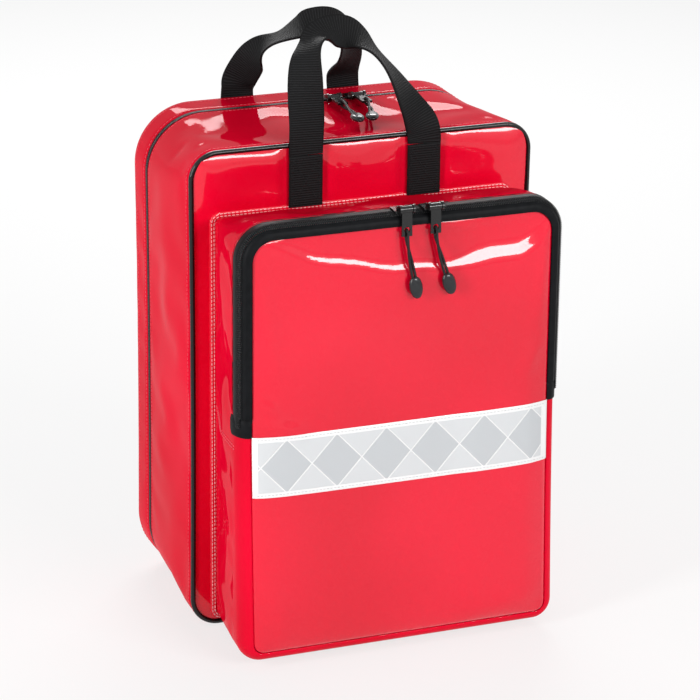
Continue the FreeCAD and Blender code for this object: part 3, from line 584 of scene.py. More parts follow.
def mount(piece: bpy.types.Object, body: str, *nodes: str) -> bpy.types.Object:
    """Sets a finished piece on its body, in the place of these solids.

    Args:
        piece: the piece.
        body: the body that it rides on.
        nodes: the solids that it stands for.

    Returns:
        The piece.
    """
    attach(piece, body)
    if nodes:
        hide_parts(*nodes)
    LOG.info("%s rides on %s, %d faces", piece.name, body, len(piece.data.polygons))
    return piece


def extent(node: str) -> tuple[np.ndarray, np.ndarray]:
    """A solid's lowest and highest corner, in millimetres."""
    low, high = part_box(node)
    return np.array(low) / MM, np.array(high) / MM


def sheet(name: str, place: Place, grid: tuple[int, int], inside: Sequence[float],
          ring: bool = False) -> bpy.types.Object:
    """Makes a sheet of cloth: a flat grid whose points are put in place by a function.

    Args:
        name: the piece's name.
        place: takes the shares across and along the sheet and gives points in millimetres.
        grid: how many faces it has across and along.
        inside: a point on the side that the sheet turns its back to.
        ring: whether its edges are joined where they meet.

    Returns:
        The sheet, with a UV map in metres of cloth.
    """
    pick()
    bpy.ops.mesh.primitive_grid_add(x_subdivisions=grid[0], y_subdivisions=grid[1], size=1, calc_uvs=True)
    piece = bpy.context.active_object
    piece.name = piece.data.name = name
    flat = points(piece) * MM
    across, along = flat[:, 0] + 0.5, flat[:, 1] + 0.5
    share, half = np.linspace(0, 1, LINE_SAMPLES), np.full(LINE_SAMPLES, 0.5)
    width, length = (run_along(line)[-1] * MM for line in (place(share, half), place(half, share)))
    put_points(piece, place(across, along))
    corner = np.empty(len(piece.data.loops), dtype=np.int32)
    piece.data.loops.foreach_get("vertex_index", corner)
    cloth = np.stack([across[corner] * width, along[corner] * length], axis=1)
    piece.data.uv_layers[0].data.foreach_set("uv", cloth.ravel())
    if ring:
        pick(piece)
        bpy.ops.object.mode_set(mode="EDIT")
        bpy.ops.mesh.select_all(action="SELECT")
        bpy.ops.mesh.remove_doubles(threshold=JOIN_REACH)
        bpy.ops.object.mode_set(mode="OBJECT")
    face_out(piece, inside)
    smooth(piece)
    return piece


def face_out(piece: bpy.types.Object, inside: Sequence[float]) -> None:
    """Turns a sheet's faces over if they look towards a point, in millimetres."""
    middle = np.empty(len(piece.data.polygons) * 3)
    normal = np.empty(len(piece.data.polygons) * 3)
    piece.data.polygons.foreach_get("center", middle)
    piece.data.polygons.foreach_get("normal", normal)
    away = middle.reshape(-1, 3) / MM - np.array(inside)
    if (away * normal.reshape(-1, 3)).sum() < 0:
        piece.data.flip_normals()


def thicken(piece: bpy.types.Object, thickness: float, offset: float = -1, lining: bool = False) -> None:
    """Gives a sheet its thickness, inwards by default, and closes its edges.

    Args:
        piece: the sheet.
        thickness: in millimetres.
        offset: -1 inwards, 0 both ways, 1 outwards.
        lining: whether the inner face takes the piece's second material.
    """
    apply(piece, "SOLIDIFY", thickness=thickness * MM, offset=offset, use_even_offset=True,
          material_offset=int(lining), use_rim=True)


def soften(piece: bpy.types.Object, width: float, segments: int = 2) -> None:
    """Rounds a piece's sharp edges, by a width in millimetres."""
    apply(piece, "BEVEL", width=width * MM, segments=segments, limit_method="ANGLE", angle_limit=EDGE_ANGLE)


@dataclass(frozen=True)
class Slack:
    """How a sewn panel settles between its seams.

    Attributes:
        spare: the share of extra cloth in it.
        bend: how stiff it is to bend.
        cap: the furthest that a point may move, in millimetres.
        frames: how long it is left to settle.
    """

    spare: float = 0.004
    bend: float = 4.0
    cap: float = 4.0
    frames: int = 18


def settle(piece: bpy.types.Object, held: np.ndarray, slack: Slack) -> None:
    """Lets a sheet settle between the points that its seams hold, and keeps the shape that it takes."""
    seam = piece.vertex_groups.new(name="seam")
    seam.add(np.flatnonzero(held).tolist(), 1.0, "REPLACE")
    run_cloth(piece, slack.frames, slack.cap, quality=6, mass=0.4, tension_stiffness=40,
              compression_stiffness=40, shear_stiffness=20, bending_stiffness=slack.bend,
              vertex_group_mass="seam", shrink_min=-slack.spare)
    piece.vertex_groups.clear()


def run_cloth(piece: bpy.types.Object, frames: int, cap: float, **settings: object) -> None:
    """Runs a piece as weightless cloth.

    Args:
        piece: the piece.
        frames: how long it runs.
        cap: the furthest that a point may move, in millimetres.
        settings: the cloth's settings.
    """
    before = points(piece)
    cloth = piece.modifiers.new("cloth", "CLOTH")
    for key, value in settings.items():
        setattr(cloth.settings, key, value)
    cloth.settings.effector_weights.gravity = 0
    cloth.collision_settings.use_collision = False
    cloth.point_cache.frame_start = 1
    cloth.point_cache.frame_end = frames
    for step in range(1, frames + 1):
        bpy.context.scene.frame_set(step)
    pick(piece)
    bpy.ops.object.modifier_apply(modifier=cloth.name)
    cap_moves(piece, before, cap)


def cap_moves(piece: bpy.types.Object, before: np.ndarray, cap: float) -> None:
    """Draws back the points that moved further than a cap, in millimetres, or rose over the level top."""
    move = points(piece) - before
    held = np.minimum(move[:, 2], LEVEL_TOP + LEVEL_SPARE - before[:, 2])
    move[:, 2] = np.where(before[:, 2] > LEVEL_TOP, held, move[:, 2])
    far = np.linalg.norm(move, axis=1, keepdims=True)
    put_points(piece, before + move * np.minimum(1, cap / np.maximum(far, 1e-6)))


def repeat(name: str, model: bpy.types.Object, spots: np.ndarray, along: np.ndarray,
           out: np.ndarray) -> bpy.types.Object:
    """Copies a small model to many spots, as one mesh, and removes the model.

    Args:
        name: the piece's name.
        model: what is copied, lying along X with its top to Z.
        spots: where the copies go, in millimetres.
        along: the way that each one lies.
        out: the way that each one's top looks.

    Returns:
        The piece.
    """
    along = unit(along)
    out = unit(out - along * (along * out).sum(axis=1, keepdims=True))
    base = points(model)
    axes = np.stack([along, np.cross(out, along), out], axis=1)
    copies = (spots[:, None] + base @ axes).reshape(-1, 3) * MM
    faces = [tuple(corner + count * len(base) for corner in face.vertices)
             for count in range(len(spots)) for face in model.data.polygons]
    bpy.data.objects.remove(model)
    return new_piece(name, copies.tolist(), faces)


def bead(length: float, width: float, height: float) -> bpy.types.Object:
    """A small round-ended bead along X, for a stitch."""
    pick()
    quarter = math.pi / 2
    bpy.ops.mesh.primitive_uv_sphere_add(segments=8, ring_count=5, radius=MM / 2, rotation=(0, quarter, 0))
    model = bpy.context.active_object
    fix_turn()
    spots = points(model)
    spots[:, 0] = np.sign(spots[:, 0]) * (2 * np.abs(spots[:, 0])) ** 0.6 / 2
    put_points(model, spots * np.array([length, width, height]))
    return model


@dataclass(frozen=True)
class Seam:
    """A row of stitches on a piece of cloth.

    Attributes:
        pitch: from one stitch to the next, in millimetres.
        stitch: the length of thread that shows.
        thread: the thread's width.
    """

    pitch: float = 3.4
    stitch: float = 2.5
    thread: float = 0.62

    def sew(self, name: str, cloth: BVHTree, lines: Sequence[np.ndarray], body: str, finish: Finish,
            slot: str = "tarpaulin") -> None:
        """Sews rows of stitches.

        Args:
            name: the piece's name.
            cloth: the surface that they lie on.
            lines: the rows, as points near that surface.
            body: the body that they ride on.
            finish: the thread's finish.
            slot: the record's slot that the thread goes with; not used.
        """
        rows = [every(line, self.pitch, 1) for line in lines]
        spots, ways = (np.concatenate(found) for found in zip(*rows))
        nearest = [cloth.find_nearest(Vector(spot * MM))[:2] for spot in spots]
        lie, out = (np.array(found) for found in zip(*nearest))
        lie = lie / MM + out * self.thread * 0.12
        stitches = repeat(name, bead(self.stitch, self.thread, self.thread * 0.75), lie, ways, out)
        dress(stitches, slot, finish)
        mount(stitches, body)


def box_rows(left: float, right: float, low: float, high: float, depth: float,
             crossed: bool = False) -> list[np.ndarray]:
    """Rows of stitches round a rectangle at one depth, and from corner to corner where it is crossed."""
    corners = [(left, low), (right, low), (right, high), (left, high)]
    pairs = [(0, 1), (1, 2), (2, 3), (3, 0)] + [(0, 2), (3, 1)] * crossed
    return [np.array([(corners[k][0], depth, corners[k][1]) for k in pair]) for pair in pairs]


def line_panel(skin: bpy.types.Object, finish: Finish, thickness: float, body: str, node: str,
               lining: bool = True) -> BVHTree:
    """Dresses a sewn panel of tarpaulin, gives it its thickness and mounts it.

    Args:
        skin: the panel, as a sheet.
        finish: what its outside is made of.
        thickness: in millimetres.
        body: the body that it rides on.
        node: the solid that it stands for.
        lining: whether its inside shows the lining.

    Returns:
        Its outer surface, for stitches to lie on.
    """
    outside = surface(skin)
    dress(skin, "tarpaulin", finish, LINING)
    thicken(skin, thickness, lining=lining)
    mount(skin, body, node)
    return outside


# ---------------------------------------------------------------- shapes that the sheets follow


@dataclass(frozen=True)
class Outline:
    """A rounded rectangle across the pack, walked from its bottom middle round by +X.

    Attributes:
        half: half its width.
        low: its lowest level.
        high: its highest level.
        radius: its corners' radius.
        waist: how far its sides draw in at half height.
        low_radius: its lower corners' radius, where that differs.
    """

    half: float | np.ndarray
    low: float | np.ndarray
    high: float | np.ndarray
    radius: float | np.ndarray
    waist: float = 0.0
    low_radius: float | np.ndarray | None = None

    @property
    def foot_radius(self) -> float | np.ndarray:
        """The lower corners' radius."""
        return self.radius if self.low_radius is None else self.low_radius

    def at(self, share: np.ndarray, proud: float | np.ndarray = 0.0) -> tuple[np.ndarray, np.ndarray]:
        """Finds points on the outline.

        Args:
            share: the share of the way round, from 0 to 1.
            proud: how far outside the outline the points stand.

        Returns:
            Their X and their Z.
        """
        share = np.clip(np.asarray(share, float), 0, 1)
        ends = np.cumsum(SHARES)
        index = np.minimum(np.searchsorted(ends, share, side="right"), 8)
        part = (share - (ends - SHARES)[index]) / SHARES[index]
        r, foot, half, low, high = (np.broadcast_to(value, share.shape) for value in (
            self.radius, self.foot_radius, self.half, self.low, self.high))
        flat, base, floor, ceiling = half - r, half - foot, low + foot, high - r
        sine, cosine = np.sin(part * math.pi / 2), np.cos(part * math.pi / 2)
        zero, one = np.zeros_like(part), np.ones_like(part)
        xs = (base * part, base + foot * sine, half, flat + r * cosine, flat - 2 * flat * part,
              -flat - r * sine, -half, -base - foot * cosine, -base + base * part)
        zs = (low, floor - foot * cosine, floor + (ceiling - floor) * part, ceiling + r * sine, high,
              ceiling + r * cosine, ceiling - (ceiling - floor) * part, floor - foot * sine, low)
        out_x = (zero, sine, one, cosine, zero, -sine, -one, -cosine, zero)
        out_z = (-one, -cosine, zero, sine, one, cosine, zero, -sine, -one)
        chosen = [index == k for k in range(9)]
        x, z, nx, nz = (np.select(chosen, values) for values in (xs, zs, out_x, out_z))
        x, z = x + nx * proud, z + nz * proud
        level = np.clip((z - self.low) / (self.high - self.low), 0, 1)
        draw = self.waist / self.half * np.sin(level * math.pi)
        return x * (1 - draw), z

    def share_of(self, level: float) -> float:
        """The share of the way round at a level on the +X side."""
        floor = self.low + self.foot_radius
        rise = (level - floor) / (self.high - self.radius - floor)
        return float(SHARES[0] + SHARES[1] + rise * SHARES[2])

    def line(self, start: float, end: float, y: float, proud: float = 0.0, count: int = 700) -> np.ndarray:
        """A line of points along the outline at one depth."""
        x, z = self.at(np.linspace(start, end, count), proud)
        return np.stack([x, np.full(count, y), z], axis=1)


SHARES = np.array([109, 57, 330, 57, 218, 57, 330, 57, 109]) / 1324


@dataclass(frozen=True)
class Pan:
    """A flat panel whose edge rolls over into straight sides.

    Attributes:
        outline: its outline.
        face: the depth of its flat face.
        way: 1 if the face looks to +Y, -1 if it looks to -Y.
        roll: the radius of the rolled edge.
        side: the length of the straight sides behind the roll.
        flat_share: the share of the grid that is flat.
        roll_share: the share of the grid inside the end of the roll.
    """

    outline: Outline
    face: float
    way: int
    roll: float
    side: float
    flat_share: float = 0.84
    roll_share: float = 0.93

    def place(self, across: np.ndarray, along: np.ndarray) -> np.ndarray:
        """Points for shares across and along, from 0 to 1."""
        u, v = 2 * across - 1, 2 * along - 1
        reach = np.maximum(np.maximum(np.abs(u), np.abs(v)), 1e-9)
        turn = np.clip((reach - self.flat_share) / (self.roll_share - self.flat_share), 0, 1) * math.pi / 2
        inset = self.roll * (1 - np.sin(turn))
        down = np.clip((reach - self.roll_share) / (1 - self.roll_share), 0, 1)
        back = self.roll * (1 - np.cos(turn)) + self.side * down
        scale = np.where(reach < self.flat_share, 1 / self.flat_share, 1 / reach)
        half = self.outline.half - inset
        middle = (self.outline.low + self.outline.high) / 2
        rise = (self.outline.high - self.outline.low) / 2 - inset
        radius = np.maximum(np.where(v < 0, self.outline.foot_radius, self.outline.radius) - inset, 0.5)
        x, z = rounded(u * scale * half, v * scale * rise, half, rise, radius)
        draw = self.outline.waist / self.outline.half * np.sin(np.clip(z / rise / 2 + 0.5, 0, 1) * math.pi)
        return np.stack([x * (1 - draw), self.face - self.way * back, z + middle], axis=-1)


def rounded(x: np.ndarray, z: np.ndarray, half: np.ndarray, rise: np.ndarray,
            radius: np.ndarray) -> tuple[np.ndarray, np.ndarray]:
    """Draws the corners of a rectangle's points in to round ones.

    Args:
        x: the points across.
        z: the points up.
        half: the rectangle's half width.
        rise: its half height.
        radius: the corners' radius.

    Returns:
        The points across and up.
    """
    over_x = (np.abs(x) - half + radius) / radius
    over_z = (np.abs(z) - rise + radius) / radius
    corner = (over_x > 0) & (over_z > 0)
    new_x = half - radius + radius * over_x * np.sqrt(np.clip(1 - over_z**2 / 2, 0, 1))
    new_z = rise - radius + radius * over_z * np.sqrt(np.clip(1 - over_x**2 / 2, 0, 1))
    return np.where(corner, np.sign(x) * new_x, x), np.where(corner, np.sign(z) * new_z, z)


def read_lines(lines: Sequence[np.ndarray], where: np.ndarray) -> tuple[np.ndarray, ...]:
    """A strap's middle, the way across it and the way out of it, at shares of its length."""
    share = np.linspace(0, 1, len(lines[0]))
    return tuple(read_at(where, share, rows) for rows in lines)


@dataclass(frozen=True)
class Ribbon:
    """A flat strap along stations of (middle, way its width points).

    Attributes:
        stations: the stations, in millimetres.
        width: the strap's width.
        thickness: its thickness.
        camber: how far its middle stands proud of its edges.
    """

    stations: tuple[tuple[Spot, Spot], ...]
    width: float
    thickness: float
    camber: float = 0.0

    def lines(self, count: int = 240) -> tuple[np.ndarray, np.ndarray, np.ndarray]:
        """The strap's middle line, the way across it and the way out of it."""
        middles, ways = (np.array(rows, float) for rows in zip(*self.stations))
        middle, across = smooth_line(middles, 600), smooth_line(unit(ways), 600)
        run = run_along(middle)
        where = np.linspace(0, run[-1], count)
        middle, across = read_at(where, run, middle), read_at(where, run, across)
        ahead = unit(np.gradient(middle, axis=0))
        across = unit(across - ahead * (across * ahead).sum(axis=1, keepdims=True))
        return middle, across, np.cross(ahead, across)

    def make(self, name: str, grid: tuple[int, int], finish: Finish, body: str,
             *nodes: str) -> bpy.types.Object:
        """Makes the strap in webbing.

        Args:
            name: the piece's name.
            grid: how many faces it has across and along.
            finish: what it is made of.
            body: the body that it rides on.
            nodes: the solids that it stands for.

        Returns:
            The strap.
        """
        lines = self.lines()

        def place(u: np.ndarray, v: np.ndarray) -> np.ndarray:
            """Points across and along the strap."""
            spot, way, away = read_lines(lines, v)
            side = (2 * u - 1)[..., None]
            return spot + way * side * self.width / 2 + away * (1 - side**2) * self.camber

        strap = sheet(name, place, grid, lines[0].mean(axis=0))
        thicken(strap, self.thickness, 0)
        smooth(strap)
        soften(strap, 0.35)
        dress(strap, "webbing", finish)
        return mount(strap, body, *nodes)


# ---------------------------------------------------------------- main compartment


@dataclass
class MainCompartment:
    """Back tray, lid gusset, front panel and piping.

    Attributes:
        waist: how far the sides draw in at half height.
        zip_radius: the corners' radius at the zip and round the tray.
        panel_radius: their radius at the front panel.
        lip: the radius of the folded edge beside the zip.
        back_roll: the radius of the edge round the back panel.
        fabric: the thickness of the walls.
        lip_seam: from the folded edge to its row of stitches.
    """

    waist: float = 1.2
    zip_radius: float = 48
    panel_radius: float = 24
    lip: float = 1.5
    back_roll: float = 7.0
    fabric: float = 1.4
    lip_seam: float = 4.2

    def __post_init__(self) -> None:
        """Reads the places of the solids."""
        self.shell_low, self.shell_high = extent("rear_shell")
        self.gusset_low, self.gusset_high = extent("front_gusset")
        self.panel_low, _ = extent("front_panel")
        self.piping_low, self.piping_high = extent("front_piping")
        self.half = self.shell_high[0]
        self.height = self.shell_high[2]
        self.zip_outline = Outline(self.half, 0, self.height, self.zip_radius, self.waist)
        self.panel_outline = Outline(self.half, 0, self.height, self.panel_radius, self.waist)

    def build(self) -> None:
        """Builds every piece of the compartment."""
        self.rear()
        self.gusset()
        self.panel()
        self.piping()

    def rear(self) -> None:
        """The back tray's fabric: a panel whose rolled edge runs to the zip."""
        depth = self.shell_high[1] - self.shell_low[1]
        pan = Pan(self.zip_outline, self.shell_high[1], 1, self.back_roll, depth - self.back_roll, 0.80, 0.87)

        def place(u: np.ndarray, v: np.ndarray) -> np.ndarray:
            """The pan, with a folded lip and a gentle swell."""
            spots = pan.place(u, v)
            x, y, z = spots.T
            fold = ease(y, self.shell_low[1] + 2.2, self.shell_low[1])
            middle = self.height / 2
            size = np.stack([np.full_like(x, self.half), np.full_like(z, middle)])
            away = np.stack([x, z - middle]) / size
            spots[:, 0] -= self.lip * fold * np.clip(away[0] * 1.4, -1, 1)
            spots[:, 2] -= self.lip * fold * np.clip(away[1] * 1.4, -1, 1)
            behind_lip = ease(y, self.shell_low[1] + 3, self.shell_low[1] + 12)
            side = ease(self.shell_high[1] - 3 - y, 0, 10) * behind_lip
            push = side * swell(z, x, 1.7, 190) * 0.8
            spots[:, 0] += push * np.clip(away[0] * 1.3, -1, 1) * (np.abs(x) > self.half * 0.8)
            spots[:, 2] += push * np.clip(away[1] * 1.3, -1, 1) * (np.abs(z - middle) > middle * 0.85)
            return spots

        skin = sheet("rear_fabric", place, (84, 110), (0, 60, self.height / 2))
        rim = points(skin)[:, 1] < self.shell_low[1] + 3
        back = points(skin)[:, 1] > self.shell_high[1] - 1
        settle(skin, rim | back, Slack(spare=0.002, bend=25.0, cap=2.0))
        rows = [self.zip_outline.line(0, 1, depth) for depth in
                (self.shell_low[1] + self.lip_seam, self.shell_high[1] - self.back_roll - 2)]
        outside = line_panel(skin, SIDE_RED, self.fabric, "tray", "rear_shell")
        Seam().sew("rear_stitches", outside, rows, "tray", THREAD)

    def gusset(self) -> None:
        """The lid's gusset: a ring of fabric from the piping back to the zip."""
        front, rear = self.gusset_low[1], self.gusset_high[1]

        def place(u: np.ndarray, v: np.ndarray) -> np.ndarray:
            """Round the outline, and from the piping to the folded lip."""
            run = np.clip(v / 0.94, 0, 1)
            fold = np.clip((v - 0.94) / 0.06, 0, 1) * math.pi / 2
            radius = self.panel_radius + (self.zip_radius - self.panel_radius) * run
            outline = Outline(self.half, 0.0, self.height, radius, self.waist)
            x, z = outline.at(u)
            bulge = np.sin(np.pi * run) * (1.3 + 0.9 * swell(x + z, z - x, 0.4, 230))
            bulge = np.where(z < 30, np.minimum(bulge, 0.2), bulge)
            top = ease(z, self.height - 30, self.height - 8)
            dent = np.sin(np.pi * run) * (0.9 * swell(x * 1.6, run * 105, 2.2, 120) - 1.0)
            bulge = bulge * (1 - top) + top * dent
            x, z = outline.at(u, bulge - self.lip * (1 - np.cos(fold)))
            y = front + (rear - front - self.lip) * run + self.lip * np.sin(fold)
            return np.stack([x, y, z], axis=-1)

        skin = sheet("lid_gusset_fabric", place, (260, 26), (0, 0, self.height / 2), ring=True)
        y = points(skin)[:, 1]
        settle(skin, (y < front + 3) | (y > rear - 4), Slack(spare=0.002, bend=25.0, cap=2.0))
        rows = [self.zip_outline.line(0, 1, rear - self.lip_seam), self.panel_outline.line(0, 1, front + 3.2)]
        outside = line_panel(skin, SIDE_RED, self.fabric, "lid", "front_gusset")
        Seam().sew("lid_gusset_stitches", outside, rows, "lid", THREAD)

    def panel(self) -> None:
        """The lid's front panel, which swells forward from its piped edge."""
        face, reach = self.panel_low[1], self.piping_high[0] - 1.2
        outline = Outline(reach, 1.2, self.height - 1.2, 23, self.waist)
        pan = Pan(outline, face, -1, 1.2, 0.8, 0.95, 0.98)
        free = 352.0

        def place(u: np.ndarray, v: np.ndarray) -> np.ndarray:
            """The pan, proud above the pocket where nothing holds it down."""
            spots = pan.place(u, v)
            x, _, z = spots.T
            edge = np.minimum(reach - np.abs(x), np.minimum(self.height - z, z))
            over = ease(z, free - 6, free + 10)
            feet = np.maximum(band(x, -49, 16), band(x, 51, 16))
            rise = seam_rise(np.maximum(edge - 2, 0), 6) * (3.2 + 1.0 * swell(x, z, 2.6, 40))
            spots[:, 1] -= rise * over * (1 - 0.75 * feet) * ease(self.height - z, 0, 3)
            return spots

        skin = sheet("front_panel_fabric", place, (96, 128), (0, 0, self.height / 2))
        line_panel(skin, RED, self.fabric, "lid", "front_panel")

    def piping(self) -> None:
        """The round piping between the front panel and the gusset."""
        low, high = self.piping_low, self.piping_high
        radius = (high[1] - low[1]) / 2
        middle = (high[1] + low[1]) / 2

        def place(u: np.ndarray, v: np.ndarray) -> np.ndarray:
            """Round the outline, and round the cord's section."""
            turn = v * 2 * math.pi
            x, z = self.panel_outline.at(u, -radius + radius * np.cos(turn) * 1.04)
            return np.stack([x, middle + radius * np.sin(turn) * 1.04 - 0.3, z], axis=-1)

        cord = sheet("front_piping_cord", place, (420, 14), (0, middle, self.height / 2), ring=True)
        turn_outward(cord)
        dress(cord, "piping", PIPING)
        mount(cord, "lid", "front_piping")


def turn_outward(piece: bpy.types.Object) -> None:
    """Turns a closed mesh's faces over if they look inwards."""
    shape = bmesh.new()
    shape.from_mesh(piece.data)
    inwards = shape.calc_volume(signed=True) < 0
    shape.free()
    if inwards:
        piece.data.flip_normals()


# ---------------------------------------------------------------- zips


@dataclass
class Chain:
    """One half of a zip: a woven tape and its row of teeth.

    Attributes:
        outline: the outline that it follows.
        start: the share of the way round where it starts; it ends the same distance from the other side.
        body: the body that it rides on.
        profile: the tape's section, as (how far proud of the outline, depth) rows.
        teeth_at: the teeth's place in that section.
        way: 1 if the teeth reach to +Y, -1 if they reach to -Y.
        lean: how far the teeth's tops look forward, 1 for halfway.
    """

    outline: Outline
    start: float
    body: str
    profile: np.ndarray
    teeth_at: tuple[float, float]
    way: int
    thickness: float = 1.1
    tooth: tuple[float, float, float] = (0.8, 2.9, 1.7)
    pitch: float = 1.5
    lean: float = 0.0

    def build(self, name: str, tape_node: str, coil_node: str, shift: float) -> None:
        """Builds the tape and the teeth.

        Args:
            name: what the pieces are called.
            tape_node: the solid that the tape stands for.
            coil_node: the solid that the teeth stand for.
            shift: how far along the first tooth is.
        """
        steps = np.linspace(0, 1, len(self.profile))
        middle = np.array([0, 0, self.outline.high / 2])

        def place(u: np.ndarray, v: np.ndarray) -> np.ndarray:
            """Round the outline, and across the tape."""
            proud, y = read_at(v, steps, self.profile).T
            x, z = self.outline.at(self.start + u * (1 - 2 * self.start), proud)
            return np.stack([x, y, z], axis=-1)

        tape = sheet(f"{name}_tape", place, (260, 3 * len(self.profile) - 3), middle)
        dress(tape, "zip_tape", TAPE)
        thicken(tape, self.thickness)
        mount(tape, self.body, tape_node)
        proud, y = self.teeth_at
        line = self.outline.line(self.start, 1 - self.start, y, proud, 1400)
        spots, ways = every(line, self.pitch, shift)
        out = np.cross(ways, np.array([0, 1.0, 0]))
        out = out * np.sign((out * (spots - middle)).sum(axis=1, keepdims=True))
        out = unit(out) + np.array([0, -self.lean, 0])
        teeth = repeat(f"{name}_teeth", tooth_model(self.tooth, self.way), spots, ways, out)
        dress(teeth, "zip_coil", COIL)
        mount(teeth, self.body, coil_node)


def tooth_model(size: tuple[float, float, float], way: int) -> bpy.types.Object:
    """One nylon tooth: a rounded bar across the chain with a swollen head."""
    pick()
    bpy.ops.mesh.primitive_cube_add(size=MM)
    model = bpy.context.active_object
    put_points(model, points(model) * np.array(size))
    bpy.ops.object.mode_set(mode="EDIT")
    bpy.ops.mesh.select_all(action="SELECT")
    bpy.ops.mesh.bevel(offset=min(size) * 0.3 * MM, segments=1, affect="EDGES")
    bpy.ops.object.mode_set(mode="OBJECT")
    spots = points(model)
    head = ease(spots[:, 1] * -way, 0.2, size[1] / 2)
    spots[:, 0] *= 1 + 0.25 * head
    put_points(model, spots)
    return model


@dataclass
class MainZip:
    """The zip between the tray and the lid, open along the bottom."""

    compartment: MainCompartment
    recess: float = 0.7

    def build(self) -> None:
        """Builds both halves."""
        box = self.compartment
        front, rear = box.gusset_high[1], box.shell_low[1]
        middle = (front + rear) / 2
        start = float(SHARES[0])
        halves = (("rear", "tray", rear, 1, 0.0), ("front", "lid", front, -1, 0.75))
        for name, body, edge, way, shift in halves:
            profile = np.array([(-self.recess, middle + 0.7 * way), (-self.recess, edge + 2 * way),
                                (-self.recess - 0.6, edge + 9 * way)])
            teeth_at = (-self.recess - 0.3, middle + 0.75 * way)
            chain = Chain(box.zip_outline, start, body, profile, teeth_at, way)
            chain.build(f"main_zip_{name}", f"{name}_zip_tape", f"{name}_zip_coil", shift)


# ---------------------------------------------------------------- front pocket


@dataclass(frozen=True)
class Crease:
    """A short soft fold on a face, between two (X, Z) spots.

    Attributes:
        start: where it starts.
        end: where it ends.
        height: how far its crest stands out.
        width: how wide it is.
    """

    start: tuple[float, float]
    end: tuple[float, float]
    height: float
    width: float

    def height_at(self, x: np.ndarray, z: np.ndarray) -> np.ndarray:
        """How far the fold stands out at points of the face."""
        run = np.array(self.end) - np.array(self.start)
        share = ((x - self.start[0]) * run[0] + (z - self.start[1]) * run[1]) / (run @ run)
        held = np.clip(share, 0, 1)
        off = np.hypot(x - self.start[0] - held * run[0], z - self.start[1] - held * run[1])
        return self.height * np.exp(-((off / self.width) ** 2) / 2) * (0.55 + 0.45 * np.sin(held * math.pi))


